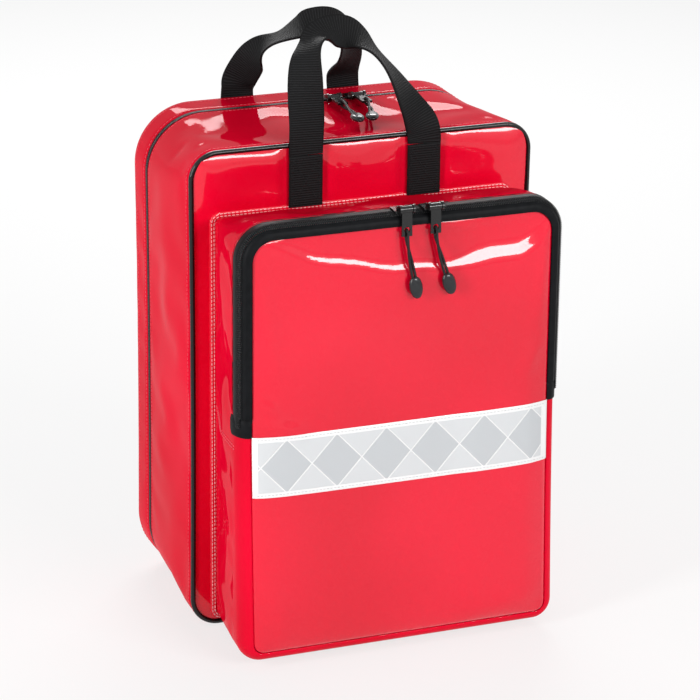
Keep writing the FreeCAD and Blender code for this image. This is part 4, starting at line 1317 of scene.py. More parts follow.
@dataclass
class FrontPocket:
    """The pocket on the lid: sides, face, sewn flange, zip band, end tabs and reflective tape.

    Attributes:
        edge: from the pocket's outline to the seam or tape edge on its face.
        forward: how far its lower edge leans forward of its face's solid.
        fabric: the thickness of its walls.
        fuller: how far its sides stand out.
        zip_end: the level where the zip ends.
        fullness: how far its face's lower part swells.
        fold_width: half the width of the fold below the zip, where it is narrow.
        fold_slope: how steep that fold is.
        smile: the crest of the fold below the zip, as (X, Z).
        creases: the smaller folds of its face.
    """

    edge: float = 10.5
    forward: float = 9.0
    fabric: float = 1.1
    fuller: float = 4.0
    zip_end: float = 204.0
    fullness: float = 4.8
    fold_width: float = 5.5
    fold_slope: float = 0.55
    smile: tuple[tuple[float, float], ...] = ((-116, 362), (-100, 350), (-80, 340), (-45, 330), (-6, 323),
                                              (25, 320), (67, 324), (98, 328), (113, 335), (124, 350))
    creases: tuple[Crease, ...] = (
        Crease((-118, 206), (-86, 199), 2.2, 4.5), Crease((-120, 226), (-104, 212), 1.6, 4.0),
        Crease((120, 338), (114, 262), 1.8, 4.5), Crease((116, 250), (104, 226), 1.4, 5.0),
        Crease((-116, 310), (-108, 250), 1.3, 6.0), Crease((-112, 66), (-98, 34), 1.6, 7.0),
        Crease((70, 30), (112, 36), 1.4, 7.0), Crease((30, 352), (92, 356), 1.6, 3.5),
    )

    def __post_init__(self) -> None:
        """Reads the places of the solids."""
        _, high = extent("pocket_gusset")
        face_low, face_high = extent("pocket_face")
        flap_low, _ = extent("pocket_flap")
        self.half = face_high[0] + self.fuller
        self.base_y, self.wall_y, self.face_y = high[1], face_high[1], face_low[1]
        self.fold = flap_low[2]
        self.outline = Outline(self.half, face_low[2] - self.fuller, high[2], 28, 0.0, 18)
        self.base = Outline(half=123, low=9.5, high=347, radius=4)
        self.inside = (0, -100, 190)

    def lean(self, z: np.ndarray) -> np.ndarray:
        """How far the lower part leans forward at a level."""
        return self.forward * np.clip((self.fold - 8 - z) / 190, 0, 1.05) ** 1.3

    def edge_at(self, turn: np.ndarray) -> tuple[np.ndarray, np.ndarray]:
        """The rounded front edge's section: how far inside the outline and how far behind the face."""
        corner = self.edge * 0.92
        depth = self.wall_y - self.face_y
        return corner * (1 - np.cos(turn * math.pi / 2)) ** 0.9, depth * (1 - np.sin(turn * math.pi / 2))

    def build(self) -> None:
        """Builds every piece of the pocket."""
        self.sides()
        self.front()
        self.flange()
        self.zip_band()
        self.end_tabs()
        self.reflector()

    def sides(self) -> None:
        """The pocket's sides, which run on round the front edge below the zip's ends."""
        base = self.base

        def place(u: np.ndarray, v: np.ndarray) -> np.ndarray:
            """Round the outline, and from the flange to the front."""
            run = np.clip(v / 0.7, 0, 1)
            turn = np.clip((v - 0.7) / 0.3, 0, 1)
            half, low, high, radius, foot = (one + run * (other - one) for one, other in (
                (base.half, self.outline.half), (base.low, self.outline.low), (base.high, self.outline.high),
                (base.radius, self.outline.radius), (base.radius, self.outline.foot_radius)))
            part = Outline(half, low, high, radius, 0.0, foot)
            x, z = part.at(u)
            below = ease(z, self.fold - 1, self.fold - 9)
            bulge = np.sin(np.pi * run) * (2.2 + 1.8 * swell(z, x + run * 60, 3.1, 90)) * ease(z, 10, 40)
            inside, behind = self.edge_at(turn)
            inside = inside * below + (1 - below) * 2.2 * turn
            behind = behind * below + (1 - below) * (self.wall_y - self.face_y) * (1 + 0.10 * turn)
            x, z = part.at(u, bulge - inside)
            depth = self.wall_y - self.face_y
            y = self.base_y + (self.wall_y - self.base_y) * run + np.where(v > 0.7, behind - depth, 0)
            return np.stack([x, y - self.lean(z) * run, z], axis=-1)

        skin = sheet("pocket_side_fabric", place, (250, 40), self.inside, ring=True)
        spots = points(skin)
        held = (spots[:, 1] > self.base_y - 3) | (spots[:, 1] < self.wall_y + 2)
        settle(skin, held, Slack(spare=0.004, bend=12.0, cap=3.0))
        outside = line_panel(skin, SIDE_RED, self.fabric, "lid", "pocket_gusset")
        Seam().sew("pocket_side_stitches", outside, [base.line(0, 1, self.base_y - 3.0)], "lid", THREAD)
        depth = np.linspace(self.base_y - 4, self.wall_y - 2, 60)
        level = 190 - 6 * ease(-depth, -self.base_y, -self.wall_y)
        rows = [np.stack([np.full(60, side * (self.half - 2)), depth, level + lift], axis=1)
                for side in (-1, 1) for lift in (0.0, 2.6)]
        Seam(pitch=3.6, stitch=2.8, thread=0.95).sew("pocket_side_seam", outside, rows, "lid", THREAD)

    def front(self) -> None:
        """The pocket's face, one cloth from its lower seam up to the zip."""
        inset = self.edge - 0.8
        outline = Outline(self.half - inset, self.outline.low + inset, self.outline.high - inset, 18, 0.0, 9)
        pan = Pan(outline, self.face_y - 0.2, -1, 1.6, 0.6, 0.97, 0.99)
        smile = np.array(self.smile)

        def place(u: np.ndarray, v: np.ndarray) -> np.ndarray:
            """The pan, with its bulge, its lean and the folds below the zip."""
            spots = pan.place(u, v)
            x, y, z = spots.T
            edge_x = np.clip(outline.half - np.abs(x), 0, None)
            edge_z = np.clip(np.minimum(outline.high - z, z - outline.low), 0, None)
            rise = seam_rise(edge_x, 16) * seam_rise(edge_z, 15)
            uneven = 0.7 * swell(x, z, 5.2, 170) * ease(z, 300, 250)
            bulge = rise * (self.fullness - 4.6 * ease(z, 215, 300) + uneven)
            crest = np.interp(x, smile[:, 0], smile[:, 1]) + 1.2 * np.sin(x / 9)
            wide = self.fold_width + 4.5 * ease(x, 38, 66) - 4.0 * ease(x, 104, 120)
            near_seam = seam_rise(edge_x, 6) * seam_rise(edge_z, 6)
            bulge += self.fold_slope * wide * near_seam * (0.5 - ease(z - crest, -wide, wide))
            for crease in self.creases:
                bulge += crease.height_at(x, z) * np.clip(rise * 3, 0, 1)
            spots[:, 1] = y - bulge - self.lean(z)
            return spots

        skin = sheet("pocket_front_fabric", place, (112, 150), self.inside)
        self.front_cloth = surface(skin)
        dress(skin, "tarpaulin", RED, LINING)
        thicken(skin, self.fabric, lining=True)
        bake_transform(skin)
        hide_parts("pocket_face", "pocket_flap")
        LOG.info("%s bends between lid and flap", skin.name)

    def flange(self) -> None:
        """The sewn flange round the pocket's base, with two rows of pale stitches."""
        _, high = extent("pocket_flange")
        base = self.base
        steps = np.array([0, 0.12, 0.3, 0.7, 0.9, 1.0])
        proud = np.array([-0.6, 0.3, 1.2, 4.0, 5.0, 5.2])
        depth = np.array([-0.4, -1.7, -1.9, -1.8, -1.2, 0.2])

        def place(u: np.ndarray, v: np.ndarray) -> np.ndarray:
            """Round the base, and from the wall out to the flange's edge."""
            x, z = base.at(u, np.interp(v, steps, proud))
            y = high[1] + np.interp(v, steps, depth) + 0.15 * swell(x, z, 1.2, 30)
            return np.stack([x, y, z], axis=-1)

        skin = sheet("pocket_flange_fabric", place, (300, 12), (0, high[1] + 20, 190), ring=True)
        outside = line_panel(skin, RED, 0.8, "lid", "pocket_flange", lining=False)
        rows = [base.line(0, 1, high[1] - 2, proud_by) for proud_by in (1.7, 3.7)]
        seam = Seam(pitch=3.3, stitch=2.5, thread=0.85)
        seam.sew("pocket_flange_stitches", outside, rows, "lid", PALE_THREAD)

    def zip_band(self) -> None:
        """The pocket's zip round its front edge: the outer half on the lid, the inner one on the flap."""
        face = self.face_y
        outer = np.array([(-0.9, self.wall_y + 3), (0.1, self.wall_y - 0.6), (0.3, self.wall_y - 3),
                          (0.3, face + 7.2), (0.0, face + 5.8), (-0.9, face + 5.0), (-2.0, face + 4.6)])
        inner = np.array([(-3.2, face + 3.4), (-3.0, face + 2.2), (-3.4, face + 1.2), (-5.0, face - 0.6),
                          (-7.5, face - 1.4), (-self.edge, face - 1.6)])
        halves = (("outer", self.zip_end, "lid", outer, (-1.2, face + 4.2), 1, 0.0),
                  ("inner", self.fold, "flap", inner, (-2.3, face + 3.1), -1, 0.75))
        for name, level, body, profile, teeth_at, way, shift in halves:
            chain = Chain(self.outline, self.outline.share_of(level), body, profile, teeth_at, way, lean=1.0)
            chain.build(f"pocket_zip_{name}", f"pocket_zip_tape_{name}", f"pocket_zip_coil_{name}", shift)

    def end_tabs(self) -> None:
        """Tape folded over the two lower ends of the zip."""
        wall_share, turn_share = 0.35, 0.5
        flat_share = 1 - wall_share - turn_share
        for side, sign in (("left", -1), ("right", 1)):
            low, high = extent(f"zip_end_tab_{side}")

            def place(u: np.ndarray, v: np.ndarray) -> np.ndarray:
                """From the pocket's side round its edge on to the face, and up the tab."""
                turn = np.clip((u - wall_share) / turn_share, 0, 1)
                inside, behind = self.edge_at(turn)
                flat = np.clip((u - wall_share - turn_share) / flat_share, 0, 1) * 2.0
                wall = np.clip(1 - u / wall_share, 0, 1) * 3.0
                stand = 1.3 - 1.0 * np.clip((v - 0.7) / 0.3, 0, 1)
                lower = low[2] - 1.0 + 14 * np.clip(wall_share - u, 0, 1) ** 1.2
                z = lower + (high[2] + 1.5 - lower) * v
                x = self.half - inside - flat + stand
                y = self.face_y + behind + wall - (stand - 0.1) * turn
                return np.stack([sign * x, y, z], axis=-1)

            tab = sheet(f"zip_end_fold_{side}", place, (26, 10), self.inside)
            dress(tab, "zip_tape", TAPE)
            thicken(tab, 1.2)
            soften(tab, 0.4)
            mount(tab, "lid", f"zip_end_tab_{side}")

    def reflector(self) -> None:
        """Reflective tape laid on the face from seam to seam, with its rows of stitches."""
        low, high = extent("reflective_tape")
        reach = self.half - self.edge + 0.4

        def place(u: np.ndarray, v: np.ndarray) -> np.ndarray:
            """Points of the tape, laid on the face."""
            x = (2 * u - 1) * reach
            z = low[2] + (high[2] - low[2]) * v
            y = []
            for across, up in zip(x * 0.995, z):
                spot = self.front_cloth.ray_cast(Vector((across * MM, -0.4, up * MM)), Vector((0, 1, 0)))[0]
                y.append(spot[1] / MM if spot else self.face_y)
            return np.stack([x, np.array(y) - 0.65, z], axis=-1)

        tape = sheet("reflective_band", place, (120, 24), self.inside)
        outside = surface(tape)
        dress(tape, "reflective", replace(REFLECTIVE, length=2 * reach))
        thicken(tape, 0.5)
        soften(tape, 0.15, 1)
        mount(tape, "lid", "reflective_tape")
        rows = [np.array([(x, self.face_y - 8, level) for x in (-reach * 0.98, reach * 0.98)])
                for level in (low[2] + 2.2, high[2] - 2.2)]
        seam = Seam(pitch=3.0, stitch=2.2, thread=0.5)
        seam.sew("reflective_stitches", outside, rows, "lid", WHITE_THREAD, "reflective")


# ---------------------------------------------------------------- sliders, pulls


class Hold(Enum):
    """Which zip a part belongs to."""

    MAIN = "main"
    POCKET = "pocket"


@dataclass
class PullSet:
    """A zip's slider with its tab, doubled cord and moulded grip.

    Attributes:
        zip_kind: which zip it runs on.
        side: left or right.
        bar: the slider's bar, which the pull turns about.
        turn: how far the pull is turned about X, in degrees.
        sway: how far its grip hangs to one side.
        tip: where the cord goes into the grip, along the pull.
        hole: where the tab's hole ends.
        cord: the cord's diameter.
        run: how far the cord stays straight above the grip.
        lean: the share of the sway that it takes up there.
    """

    zip_kind: Hold
    side: str
    bar: Spot
    turn: float
    sway: float
    tip: float = -55.0
    hole: float = -16.5
    cord: float = 2.2
    run: float = 7.5
    lean: float = 0.26

    def placed(self, spots: np.ndarray) -> np.ndarray:
        """Points of the pull, from its own place to its place on the pack."""
        x, y, z = spots.T
        return np.stack([x, *turned(y, z, math.radians(self.turn))], axis=1) + np.array(self.bar)

    @property
    def yaw(self) -> float:
        """How far the pull's far end is turned sideways, in radians."""
        return math.atan2(self.sway * self.lean, self.run)

    def build(self) -> None:
        """Builds the grip and the cord, and dresses the slider and the tab."""
        grip = self.grip()
        cord = self.loop()
        spots = points_of_curve(cord)
        float(run_along(spots)[-1]) * MM
        for part in ("slider", "pull_tab"):
            paint(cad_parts[f"{self.zip_kind.value}_{part}_{self.side}"], ENAMEL)

    def grip(self) -> bpy.types.Object:
        """The moulded oval grip, with a parting line round it and finger flats."""
        pick()
        quarter = math.pi / 2
        bpy.ops.mesh.primitive_uv_sphere_add(segments=32, ring_count=24, radius=MM, rotation=(quarter, 0, 0))
        grip = bpy.context.active_object
        fix_turn()
        spots = points(grip) * np.array([5.25, 9.5, 3.25])
        x, y, z = spots.T
        spots[:, 0] *= 1 - 0.18 * ease(y, 5.5, 9.5)
        spots[:, 2] *= 1 - 0.16 * np.exp(-((x / 3.6) ** 2 + (y / 5.5) ** 2) ** 2)
        ridge = np.exp(-((z / 0.35) ** 2)) * 0.25
        spots[:, 0] += np.sign(x) * ridge * (np.abs(x) > 1)
        spots[:, 1] = np.minimum(spots[:, 1] - 8.3, 0.0)
        across, along = turned(*spots.T[:2], self.yaw)
        put_points(grip, self.placed(np.stack([across + self.sway, along + self.tip, spots[:, 2]], axis=1)))
        grip.name = grip.data.name = f"{self.zip_kind.value}_grip_{self.side}"
        smooth(grip)
        dress(grip, "pull_grip", GRIP)
        pull = f"{self.zip_kind.value}_pull"
        return mount(grip, f"{pull}_{self.side}", f"{pull}_tip_{self.side}")

    def loop(self) -> bpy.types.Object:
        """The cord: up from the grip, through the tab's hole and back down."""
        strand = ((-1.25, self.tip, 0.0, 1.0), (-1.20, self.tip + self.run, 0.1, 1 - self.lean),
                  (-1.10, self.tip + 15.0, 0.7, 0.48), (-0.75, self.tip + 21.5, 1.6, 0.27),
                  (-0.30, self.tip + 27.5, 2.25, 0.10), (0.0, self.hole - 6.0, 2.6, 0.0),
                  (0.0, self.hole + 0.1, 2.45, 0.0))
        route = []
        for way, ordered in ((1, strand), (-1, strand[::-1])):
            for side, along, lift, share in ordered:
                across = side * way
                forward = along + across * math.sin(self.yaw) * share
                route.append((across + self.sway * share, forward, lift * way))
        spots = self.placed(np.array(route)) * MM
        name = f"{self.zip_kind.value}_cord_{self.side}"
        curve = bpy.data.curves.new(name, "CURVE")
        curve.dimensions = "3D"
        curve.bevel_depth = self.cord / 2 * MM
        curve.bevel_resolution = 4
        curve.resolution_u = 12
        curve.use_fill_caps = True
        spline = curve.splines.new("NURBS")
        spline.points.add(len(spots) - 1)
        for point, spot in zip(spline.points, spots):
            point.co = (*spot, 1)
        spline.order_u = 3
        spline.use_endpoint_u = True
        cord = bpy.data.objects.new(name, curve)
        bpy.context.scene.collection.objects.link(cord)
        curve.materials.append(material_of(BRAID))
        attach(cord, f"{self.zip_kind.value}_pull_{self.side}")
        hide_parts(f"{self.zip_kind.value}_pull_cord_{self.side}")
        LOG.info("%s is a cord", name)
        return cord


def points_of_curve(cord: bpy.types.Object) -> np.ndarray:
    """The points of a curve's own line, in millimetres."""
    bare = cord.copy()
    bare.data = cord.data.copy()
    bare.data.bevel_depth = 0
    mesh = bpy.data.meshes.new_from_object(bare)
    spots = np.array([vertex.co for vertex in mesh.vertices]) / MM
    bpy.data.meshes.remove(mesh)
    bpy.data.objects.remove(bare)
    return spots


# ---------------------------------------------------------------- handles


@dataclass
class CarryHandle:
    """A webbing loop and its sewn feet.

    Attributes:
        name: front or rear.
        middle: the middle between its feet.
        surface: the depth of its feet.
        level: the level where the loop starts.
        span: half the distance between its feet.
        rise: how high it stands.
        lean: how far its top leans, along Y.
        route: its stations: side, rise and lean as shares, and the way its width points.
        foot_low: where its feet end below.
        foot_out: the way out of the panel along Y that they are sewn on.
        carrier: the body that they ride on.
    """

    name: str
    middle: float
    surface: float
    level: float
    span: float
    rise: float
    lean: float
    route: tuple[tuple[float, float, float, Spot], ...]
    foot_low: float
    foot_out: int
    carrier: str
    width: float = 28.0
    thickness: float = 1.8

    def build(self) -> None:
        """Builds the loop and the feet."""
        stations = tuple(((self.middle + side * self.span, self.surface + back * self.lean,
                           self.level + up * self.rise), way) for side, up, back, way in self.route)
        loop = Ribbon(stations, self.width, self.thickness, 0.5)
        loop.make(f"{self.name}_handle_webbing", (10, 190), STRAP, f"{self.name}_loop", f"{self.name}_handle")
        face = self.surface + self.foot_out * (self.thickness / 2 + 0.1)
        feet, rows = [], []
        for side in (self.route[0][0], self.route[-1][0]):
            x = self.middle + side * self.span
            levels = np.linspace(self.foot_low, self.level - 0.3, 5)
            spots = tuple(((x, self.surface, level), (1, 0, 0)) for level in levels)
            foot = Ribbon(spots, self.width, self.thickness)
            feet.append(foot.make(f"{self.name}_foot_{len(feet)}", (8, 14), STRAP, self.carrier,
                                  f"{self.name}_handle_feet"))
            rows += box_rows(x - 11, x + 11, self.foot_low + 2.5, self.level - 3, face, crossed=True)
        seam = Seam(pitch=2.8, stitch=2.1, thread=0.7)
        seam.sew(f"{self.name}_foot_stitches", surface(*feet), rows, self.carrier, BLACK_THREAD, "webbing")


# ---------------------------------------------------------------- back: pads and straps


PAD_HALF = 29.0
NECK_ROUTE = ((0.0, 0.04, 0), (0.02, 0.24, 0), (0.055, 0.45, 0), (0.11, 0.68, 0), (0.15, 0.77, 0))
PAD_ROUTE = ((0.085, 0.57, 0), (0.10, 0.64, 0), (0.20, 0.86, -2), (0.33, 1.0, -4), (0.46, 1.0, -3),
             (0.58, 0.88, 0), (0.67, 0.74, 0), (0.69, 0.70, 0))
LOWER_ROUTE = ((0.69, 0.715, 0), (0.72, 0.655, 0), (0.745, 0.60, 0), (0.84, 0.42, 0), (0.93, 0.22, 0),
               (0.975, 0.10, 0), (1.0, 0.03, 0))


@dataclass
class BackPanel:
    """Foam pads, the strap yoke and the two shoulder straps.

    Attributes:
        pressure: what blows the pads up.
        strap_top: where the right strap's upper end is sewn.
        strap_foot: where its lower end is sewn.
        strap_out: how far a strap stands off the line between its ends.
    """

    pressure: float = 4.0
    strap_top: Spot = (50.0, 97.15, 366.0)
    strap_foot: Spot = (108.0, 97.15, 32.0)
    strap_out: float = 46.7

    def build(self) -> None:
        """Builds every piece on the back."""
        for name in ("back_pad_left", "back_pad_right", "lumbar_pad"):
            self.pad(name)
        self.yoke()
        for side, sign in (("left", -1), ("right", 1)):
            self.strap(side, sign)

    def pad(self, node: str) -> None:
        """A stuffed pad: a crowned block blown up as cloth."""
        low, high = extent(node)
        middle = (low + high) / 2
        pick()
        bpy.ops.mesh.primitive_cube_add(size=1, location=tuple(middle * MM))
        pad = bpy.context.active_object
        fix_turn()
        spots = (points(pad) - middle) / 1000
        put_points(pad, middle + spots * (high - low - np.array([3, 2.5, 3])))
        pad.name = pad.data.name = f"{node}_cover"
        apply(pad, "BEVEL", width=3.4 * MM, segments=3, limit_method="ANGLE")
        apply(pad, "REMESH", mode="VOXEL", voxel_size=4.6 * MM)
        run_cloth(pad, 20, 2.5, use_pressure=True, uniform_pressure_force=self.pressure)
        apply(pad, "SUBSURF", levels=1, render_levels=1)
        spots = points(pad)
        spots[:, 1] = np.maximum(spots[:, 1], low[1] + 0.1)
        put_points(pad, spots)
        smooth(pad)
        dress(pad, "padding", MESH)
        mount(pad, "tray", node)

    @staticmethod
    def yoke() -> None:
        """The yoke and the two lower tabs that the straps are sewn to."""
        for node in ("strap_yoke", "strap_tab_left", "strap_tab_right"):
            low, high = extent(node)
            middle = (low + high) / 2

            def place(u: np.ndarray, v: np.ndarray) -> np.ndarray:
                """A flat patch with rounded corners, thick in its middle."""
                half, rise = (high[0] - low[0]) / 2, (high[2] - low[2]) / 2
                x, z = rounded((2 * u - 1) * half, (2 * v - 1) * rise, half, rise, np.full_like(u, 5.0))
                edge = np.minimum(half - np.abs(x), rise - np.abs(z))
                y = high[1] - 1.2 + 1.2 * seam_rise(np.maximum(edge, 0), 1.5)
                return np.stack([x + middle[0], y, z + middle[2]], axis=-1)

            patch = sheet(f"{node}_patch", place, (60, 24), (middle[0], 0, middle[2]))
            outside = surface(patch)
            dress(patch, "webbing", replace(RED, name="tarpaulin_patch"))
            thicken(patch, 1.7)
            mount(patch, "tray", node)
            rows = box_rows(low[0] + 4, high[0] - 4, low[2] + 4, high[2] - 4, high[1])
            Seam().sew(f"{node}_stitches", outside, rows, "tray", THREAD)

    def strap(self, side: str, sign: int) -> None:
        """One shoulder strap: neck webbing, padded part, buckle and lower webbing."""
        top, foot = (np.array(end) * np.array([sign, 1, 1]) for end in (self.strap_top, self.strap_foot))

        def stations(route: Sequence[Spot]) -> tuple[tuple[Spot, Spot], ...]:
            """Stations along the line between the sewn ends, from (share, stand, sway) rows."""
            off = [np.array([sway * sign, self.strap_out * stand, 0]) for _, stand, sway in route]
            return tuple((tuple(top + (foot - top) * row[0] + away), (1, 0, 0.25 * sign))
                         for row, away in zip(route, off))

        body = f"strap_{side}"
        neck = Ribbon(stations(NECK_ROUTE), NARROW.width, 3.4)
        neck.make(f"strap_neck_{side}", (8, 40), NARROW, body)
        lines = Ribbon(stations(PAD_ROUTE), 2 * PAD_HALF, 11).lines(160)

        def place(u: np.ndarray, v: np.ndarray) -> np.ndarray:
            """Round the strap's flat oval section, and along it."""
            spot, way, rise = read_lines(lines, v)
            taper = end_taper(v)
            wide, thick = pad_width(taper), 5.4 * (0.25 + 0.75 * taper)
            cosine, sine = np.cos(u * 2 * math.pi), np.sin(u * 2 * math.pi)
            flat = np.sign(cosine) * np.abs(cosine) ** 0.55 * wide
            tall = np.sign(sine) * np.abs(sine) ** 0.8 * thick * (1 - 0.5 * (np.abs(flat) / wide) ** 6)
            return spot + way * flat[..., None] + rise * tall[..., None]

        cover = sheet(f"shoulder_strap_cover_{side}", place, (56, 150), lines[0].mean(axis=0), ring=True)
        close_holes(cover)
        turn_outward(cover)
        dress(cover, "padding", MESH)
        mount(cover, body, f"shoulder_strap_{side}")
        self.binding(f"strap_binding_{side}", body, lines)
        lower = Ribbon(stations(LOWER_ROUTE), NARROW.width, 1.8)
        lower.make(f"strap_lower_webbing_{side}", (8, 70), NARROW, body, f"strap_webbing_{side}")
        paint(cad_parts[f"strap_buckle_{side}"], BUCKLE)

    @staticmethod
    def binding(name: str, body: str, lines: Sequence[np.ndarray]) -> None:
        """Tape folded over the padded part's two long edges."""
        pieces = []
        for sign in (-1, 1):

            def place(u: np.ndarray, v: np.ndarray) -> np.ndarray:
                """Round the folded edge, and along it."""
                along = 0.03 + 0.94 * v
                spot, way, rise = read_lines(lines, along)
                taper = end_taper(along)
                turn = (u - 0.5) * math.pi * 1.1
                across = sign * (pad_width(taper) - 4.0 + 4.6 * np.cos(turn))
                up = 4.4 * (0.3 + 0.7 * taper) * np.sin(turn)
                return spot + way * across[..., None] + rise * up[..., None]

            pieces.append(sheet(f"{name}_{sign}", place, (10, 130), lines[0].mean(axis=0)))
        both = new_piece(name, *corners_and_faces(pieces))
        for piece in pieces:
            bpy.data.objects.remove(piece)
        thicken(both, 0.7, 0)
        smooth(both)
        dress(both, "webbing", replace(PIPING, name="binding_tape", roughness=0.55, coat=0.0))
        mount(both, body)


def end_taper(share: np.ndarray) -> np.ndarray:
    """0 at a padded strap's two ends and 1 along its middle, round between, for shares of its length."""
    end = np.clip(np.minimum(share, 1 - share) / 0.10, 0, 1)
    return np.sqrt(np.clip(1 - (1 - end) ** 2, 0.0, 1))


def pad_width(taper: np.ndarray) -> np.ndarray:
    """Half the width of a padded strap."""
    return PAD_HALF * (0.34 + 0.66 * taper)


def close_holes(piece: bpy.types.Object) -> None:
    """Closes a mesh's open ends with a face each."""
    shape = bmesh.new()
    shape.from_mesh(piece.data)
    bmesh.ops.holes_fill(shape, edges=[edge for edge in shape.edges if edge.is_boundary], sides=0)
    shape.to_mesh(piece.data)
    shape.free()


# ---------------------------------------------------------------- studio


@dataclass(frozen=True)
class Softbox:
    """A rectangular lamp that looks at a point."""

    name: str
    spot: tuple[float, float, float]
    target: tuple[float, float, float]
    size: tuple[float, float]
    power: float

    def build(self) -> None:
        """Hangs the lamp."""
        lamp = bpy.data.lights.new(self.name, "AREA")
        lamp.shape = "RECTANGLE"
        lamp.size, lamp.size_y = self.size
        lamp.energy = self.power
        holder = bpy.data.objects.new(self.name, lamp)
        bpy.context.scene.collection.objects.link(holder)
        look = Vector(self.target) - Vector(self.spot)
        turn = look.to_track_quat("-Z", "Y").to_matrix().to_4x4()
        holder.matrix_world = Matrix.Translation(Vector(self.spot)) @ turn


@dataclass(frozen=True)
class Studio:
    """Pale floor, soft lamps and the camera."""

    lens: float = 169.18
    ambient: float = 0.28
    floor_glow: float = 0.72
    boxes: tuple[Softbox, ...] = (
        Softbox("key_box", (0.82, -2.19, 1.11), (0.0, -0.1, 0.25), (1.4, 0.36), 34.5),
        Softbox("top_box", (0.55, 1.75, 1.45), (0.0, 0.0, 0.38), (1.4, 0.5), 30),
        Softbox("side_box", (-2.1, -0.9, 0.9), (0.0, 0.0, 0.2), (0.5, 1.2), 34),
    )

    def build(self) -> None:
        """Sets the studio up."""
        bpy.context.scene.view_settings.view_transform = "Standard"
        for box in self.boxes:
            box.build()
        self.surroundings()
        self.floor()
        self.camera()

    @staticmethod
    def seen_directly(graph: Graph) -> Socket:
        """1 for rays that come straight from the camera or by way of glossy or clear surfaces."""
        path = graph.add("ShaderNodeLightPath")
        total = path.outputs["Is Camera Ray"]
        for name in ("Is Glossy Ray", "Is Transmission Ray"):
            total = graph.maths("MAXIMUM", total, path.outputs[name])
        return total

    def surroundings(self) -> None:
        """A white surround that lights the pack at a plain level."""
        world = bpy.data.worlds.new("surround")
        bpy.context.scene.world = world
        graph = Graph(world)
        level = graph.add("ShaderNodeMapRange", self.seen_directly(graph), None, None, self.ambient, 1)
        graph.feed(graph.nodes["Background"], Color=(1, 1, 1), Strength=level.outputs[0])

    def floor(self) -> None:
        """A plain pale floor that keeps the pack's shadow."""
        pick()
        bpy.ops.mesh.primitive_plane_add(size=40, location=(0, 0, -0.0006))
        floor = bpy.context.active_object
        floor.name = "floor"
        fix_turn()
        material = bpy.data.materials.new("floor_white")
        graph = Graph(material)
        matt = graph.feed(graph.nodes["Principled BSDF"], Base_Color=(0.86, 0.86, 0.86), Roughness=0.9,
                          Specular_IOR_Level=0.1)
        share = graph.maths("MULTIPLY", self.seen_directly(graph), self.floor_glow)
        glow = graph.add("ShaderNodeEmission")
        mix = graph.add("ShaderNodeMixShader", share, matt.outputs[0], glow.outputs[0])
        graph.feed(graph.nodes["Material Output"], Surface=mix.outputs[0])
        floor.data.materials.append(material)

    def camera(self) -> None:
        """The camera, a little to the left of the front and above it."""
        lens = bpy.data.cameras.new("camera")
        lens.lens = self.lens
        lens.sensor_width = 36
        lens.clip_end = 60
        holder = bpy.data.objects.new("camera", lens)
        bpy.context.scene.collection.objects.link(holder)
        right, up, back = (0.9325, -0.361, 0.0115), (0.1147, 0.3262, 0.9383), (-0.3425, -0.8737, 0.3456)
        turn = Matrix((right, up, back)).transposed().to_4x4()
        holder.matrix_world = Matrix.Translation((-0.9154, -2.36625, 1.1384)) @ turn
        bpy.context.scene.camera = holder


# ---------------------------------------------------------------- the whole pack


FRONT_ROUTE = (
    (-0.96, 0.00, 0.00, (1, 0, 0)), (-0.96, 0.05, 0.00, (1, 0, 0)),
    (-0.95, 0.30, 0.00, (1, -0.1, 0)), (-0.96, 0.62, 0.08, (0.85, -0.5, 0.1)),
    (-0.90, 0.86, 0.30, (0.5, -0.8, 0.2)), (-0.72, 0.97, 0.58, (0, -1, 0)),
    (-0.46, 1.00, 0.84, (-0.2, -0.8, -0.5)), (-0.13, 0.98, 1.00, (-0.2, -0.55, -0.8)),
    (0.13, 0.92, 0.94, (-0.3, -0.8, -0.45)), (0.36, 0.79, 0.76, (-0.45, -0.9, 0.1)),
    (0.60, 0.60, 0.50, (-0.65, -0.7, 0.25)), (0.83, 0.34, 0.16, (-0.9, -0.35, 0.15)),
    (0.96, 0.17, 0.02, (-1, 0, 0)), (1.00, 0.05, 0.00, (-1, 0, 0)),
    (1.00, 0.00, 0.00, (-1, 0, 0)),
)
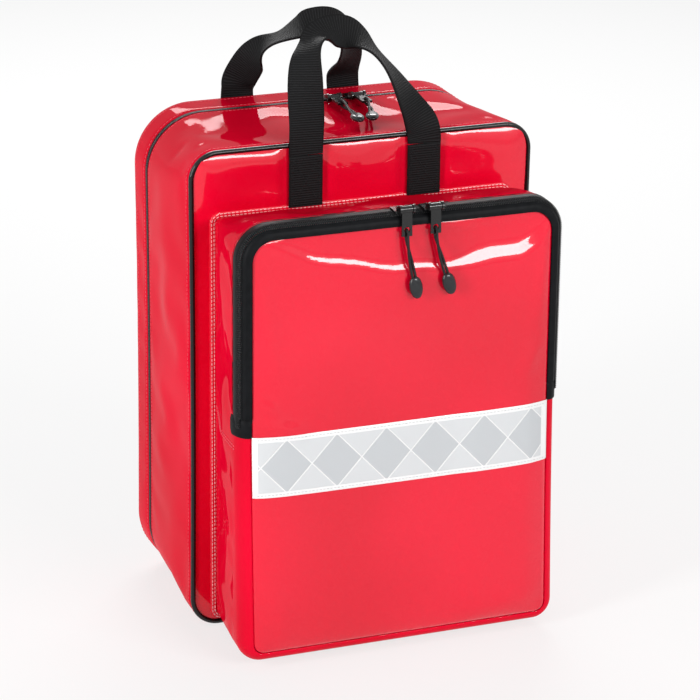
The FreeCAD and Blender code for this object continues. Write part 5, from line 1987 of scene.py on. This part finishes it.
REAR_ROUTE = (
    (-1.00, 0.00, 0.00, (1, 0, 0)), (-1.00, 0.05, 0.00, (1, 0, 0)),
    (-0.99, 0.16, 0.00, (1, 0, 0)), (-0.95, 0.30, 0.06, (0.75, -0.6, 0.2)),
    (-0.80, 0.58, 0.35, (0.4, -0.9, 0.35)), (-0.58, 0.80, 0.68, (-0.1, -0.95, 0.2)),
    (-0.25, 0.96, 0.94, (-0.3, -0.85, -0.4)), (0.05, 1.00, 1.00, (-0.2, -0.6, -0.75)),
    (0.36, 0.97, 1.00, (-0.1, -0.35, -0.9)), (0.66, 0.84, 0.84, (-0.4, -0.6, -0.6)),
    (0.90, 0.52, 0.48, (-0.85, -0.5, -0.1)), (0.97, 0.26, 0.08, (-1, -0.1, 0)),
    (0.99, 0.16, 0.00, (-1, 0, 0)), (1.00, 0.05, 0.00, (-1, 0, 0)),
    (1.00, 0.00, 0.00, (-1, 0, 0)),
)


def dress_plain_solids() -> None:
    """Gives the solids that stay in view their finishes."""
    for name in ("back_board", "front_board", "shelf_lower", "shelf_upper"):
        paint(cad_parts[name], LINING)
    hinge_cloth = replace(LINING, name="hinge_cloth", colour=red_green_blue(204, 10, 38))
    paint(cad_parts["bottom_hinge_strip"], hinge_cloth)


def main() -> None:
    """Builds the pack and the studio."""
    logging.basicConfig(level=logging.INFO, format="%(name)s: %(message)s")
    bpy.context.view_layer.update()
    Studio().build()
    pull_length, main_rise, pocket_rise = 63.3, 0.8, 3.0
    main_turn = -math.degrees(math.asin(main_rise / pull_length))
    pocket_turn = 90 - math.degrees(math.asin(pocket_rise / pull_length))
    pulls = (
        PullSet(Hold.MAIN, "left", (13, 45.35, 405.8), main_turn, -3.0),
        PullSet(Hold.MAIN, "right", (34, 45.35, 405.8), main_turn, -9.5),
        PullSet(Hold.POCKET, "left", (0, -146.65, 369.8), pocket_turn, 6.0),
        PullSet(Hold.POCKET, "right", (24, -146.65, 369.8), pocket_turn, 9.0),
    )
    for pull in pulls:
        pull.build()
    compartment = MainCompartment()
    compartment.build()
    MainZip(compartment).build()
    FrontPocket().build()
    handles = (
        CarryHandle("front", middle=0, surface=-56.45, level=392, span=51, rise=90, lean=31,
                    route=FRONT_ROUTE, foot_low=350.0, foot_out=-1, carrier="lid"),
        CarryHandle("rear", middle=-7.5, surface=92.15, level=396, span=46.5, rise=74, lean=-50,
                    route=REAR_ROUTE, foot_low=383.5, foot_out=1, carrier="tray"),
    )
    for handle in handles:
        handle.build()
    BackPanel().build()
    dress_plain_solids()
    pick()


if __name__ == "__main__":
    main()
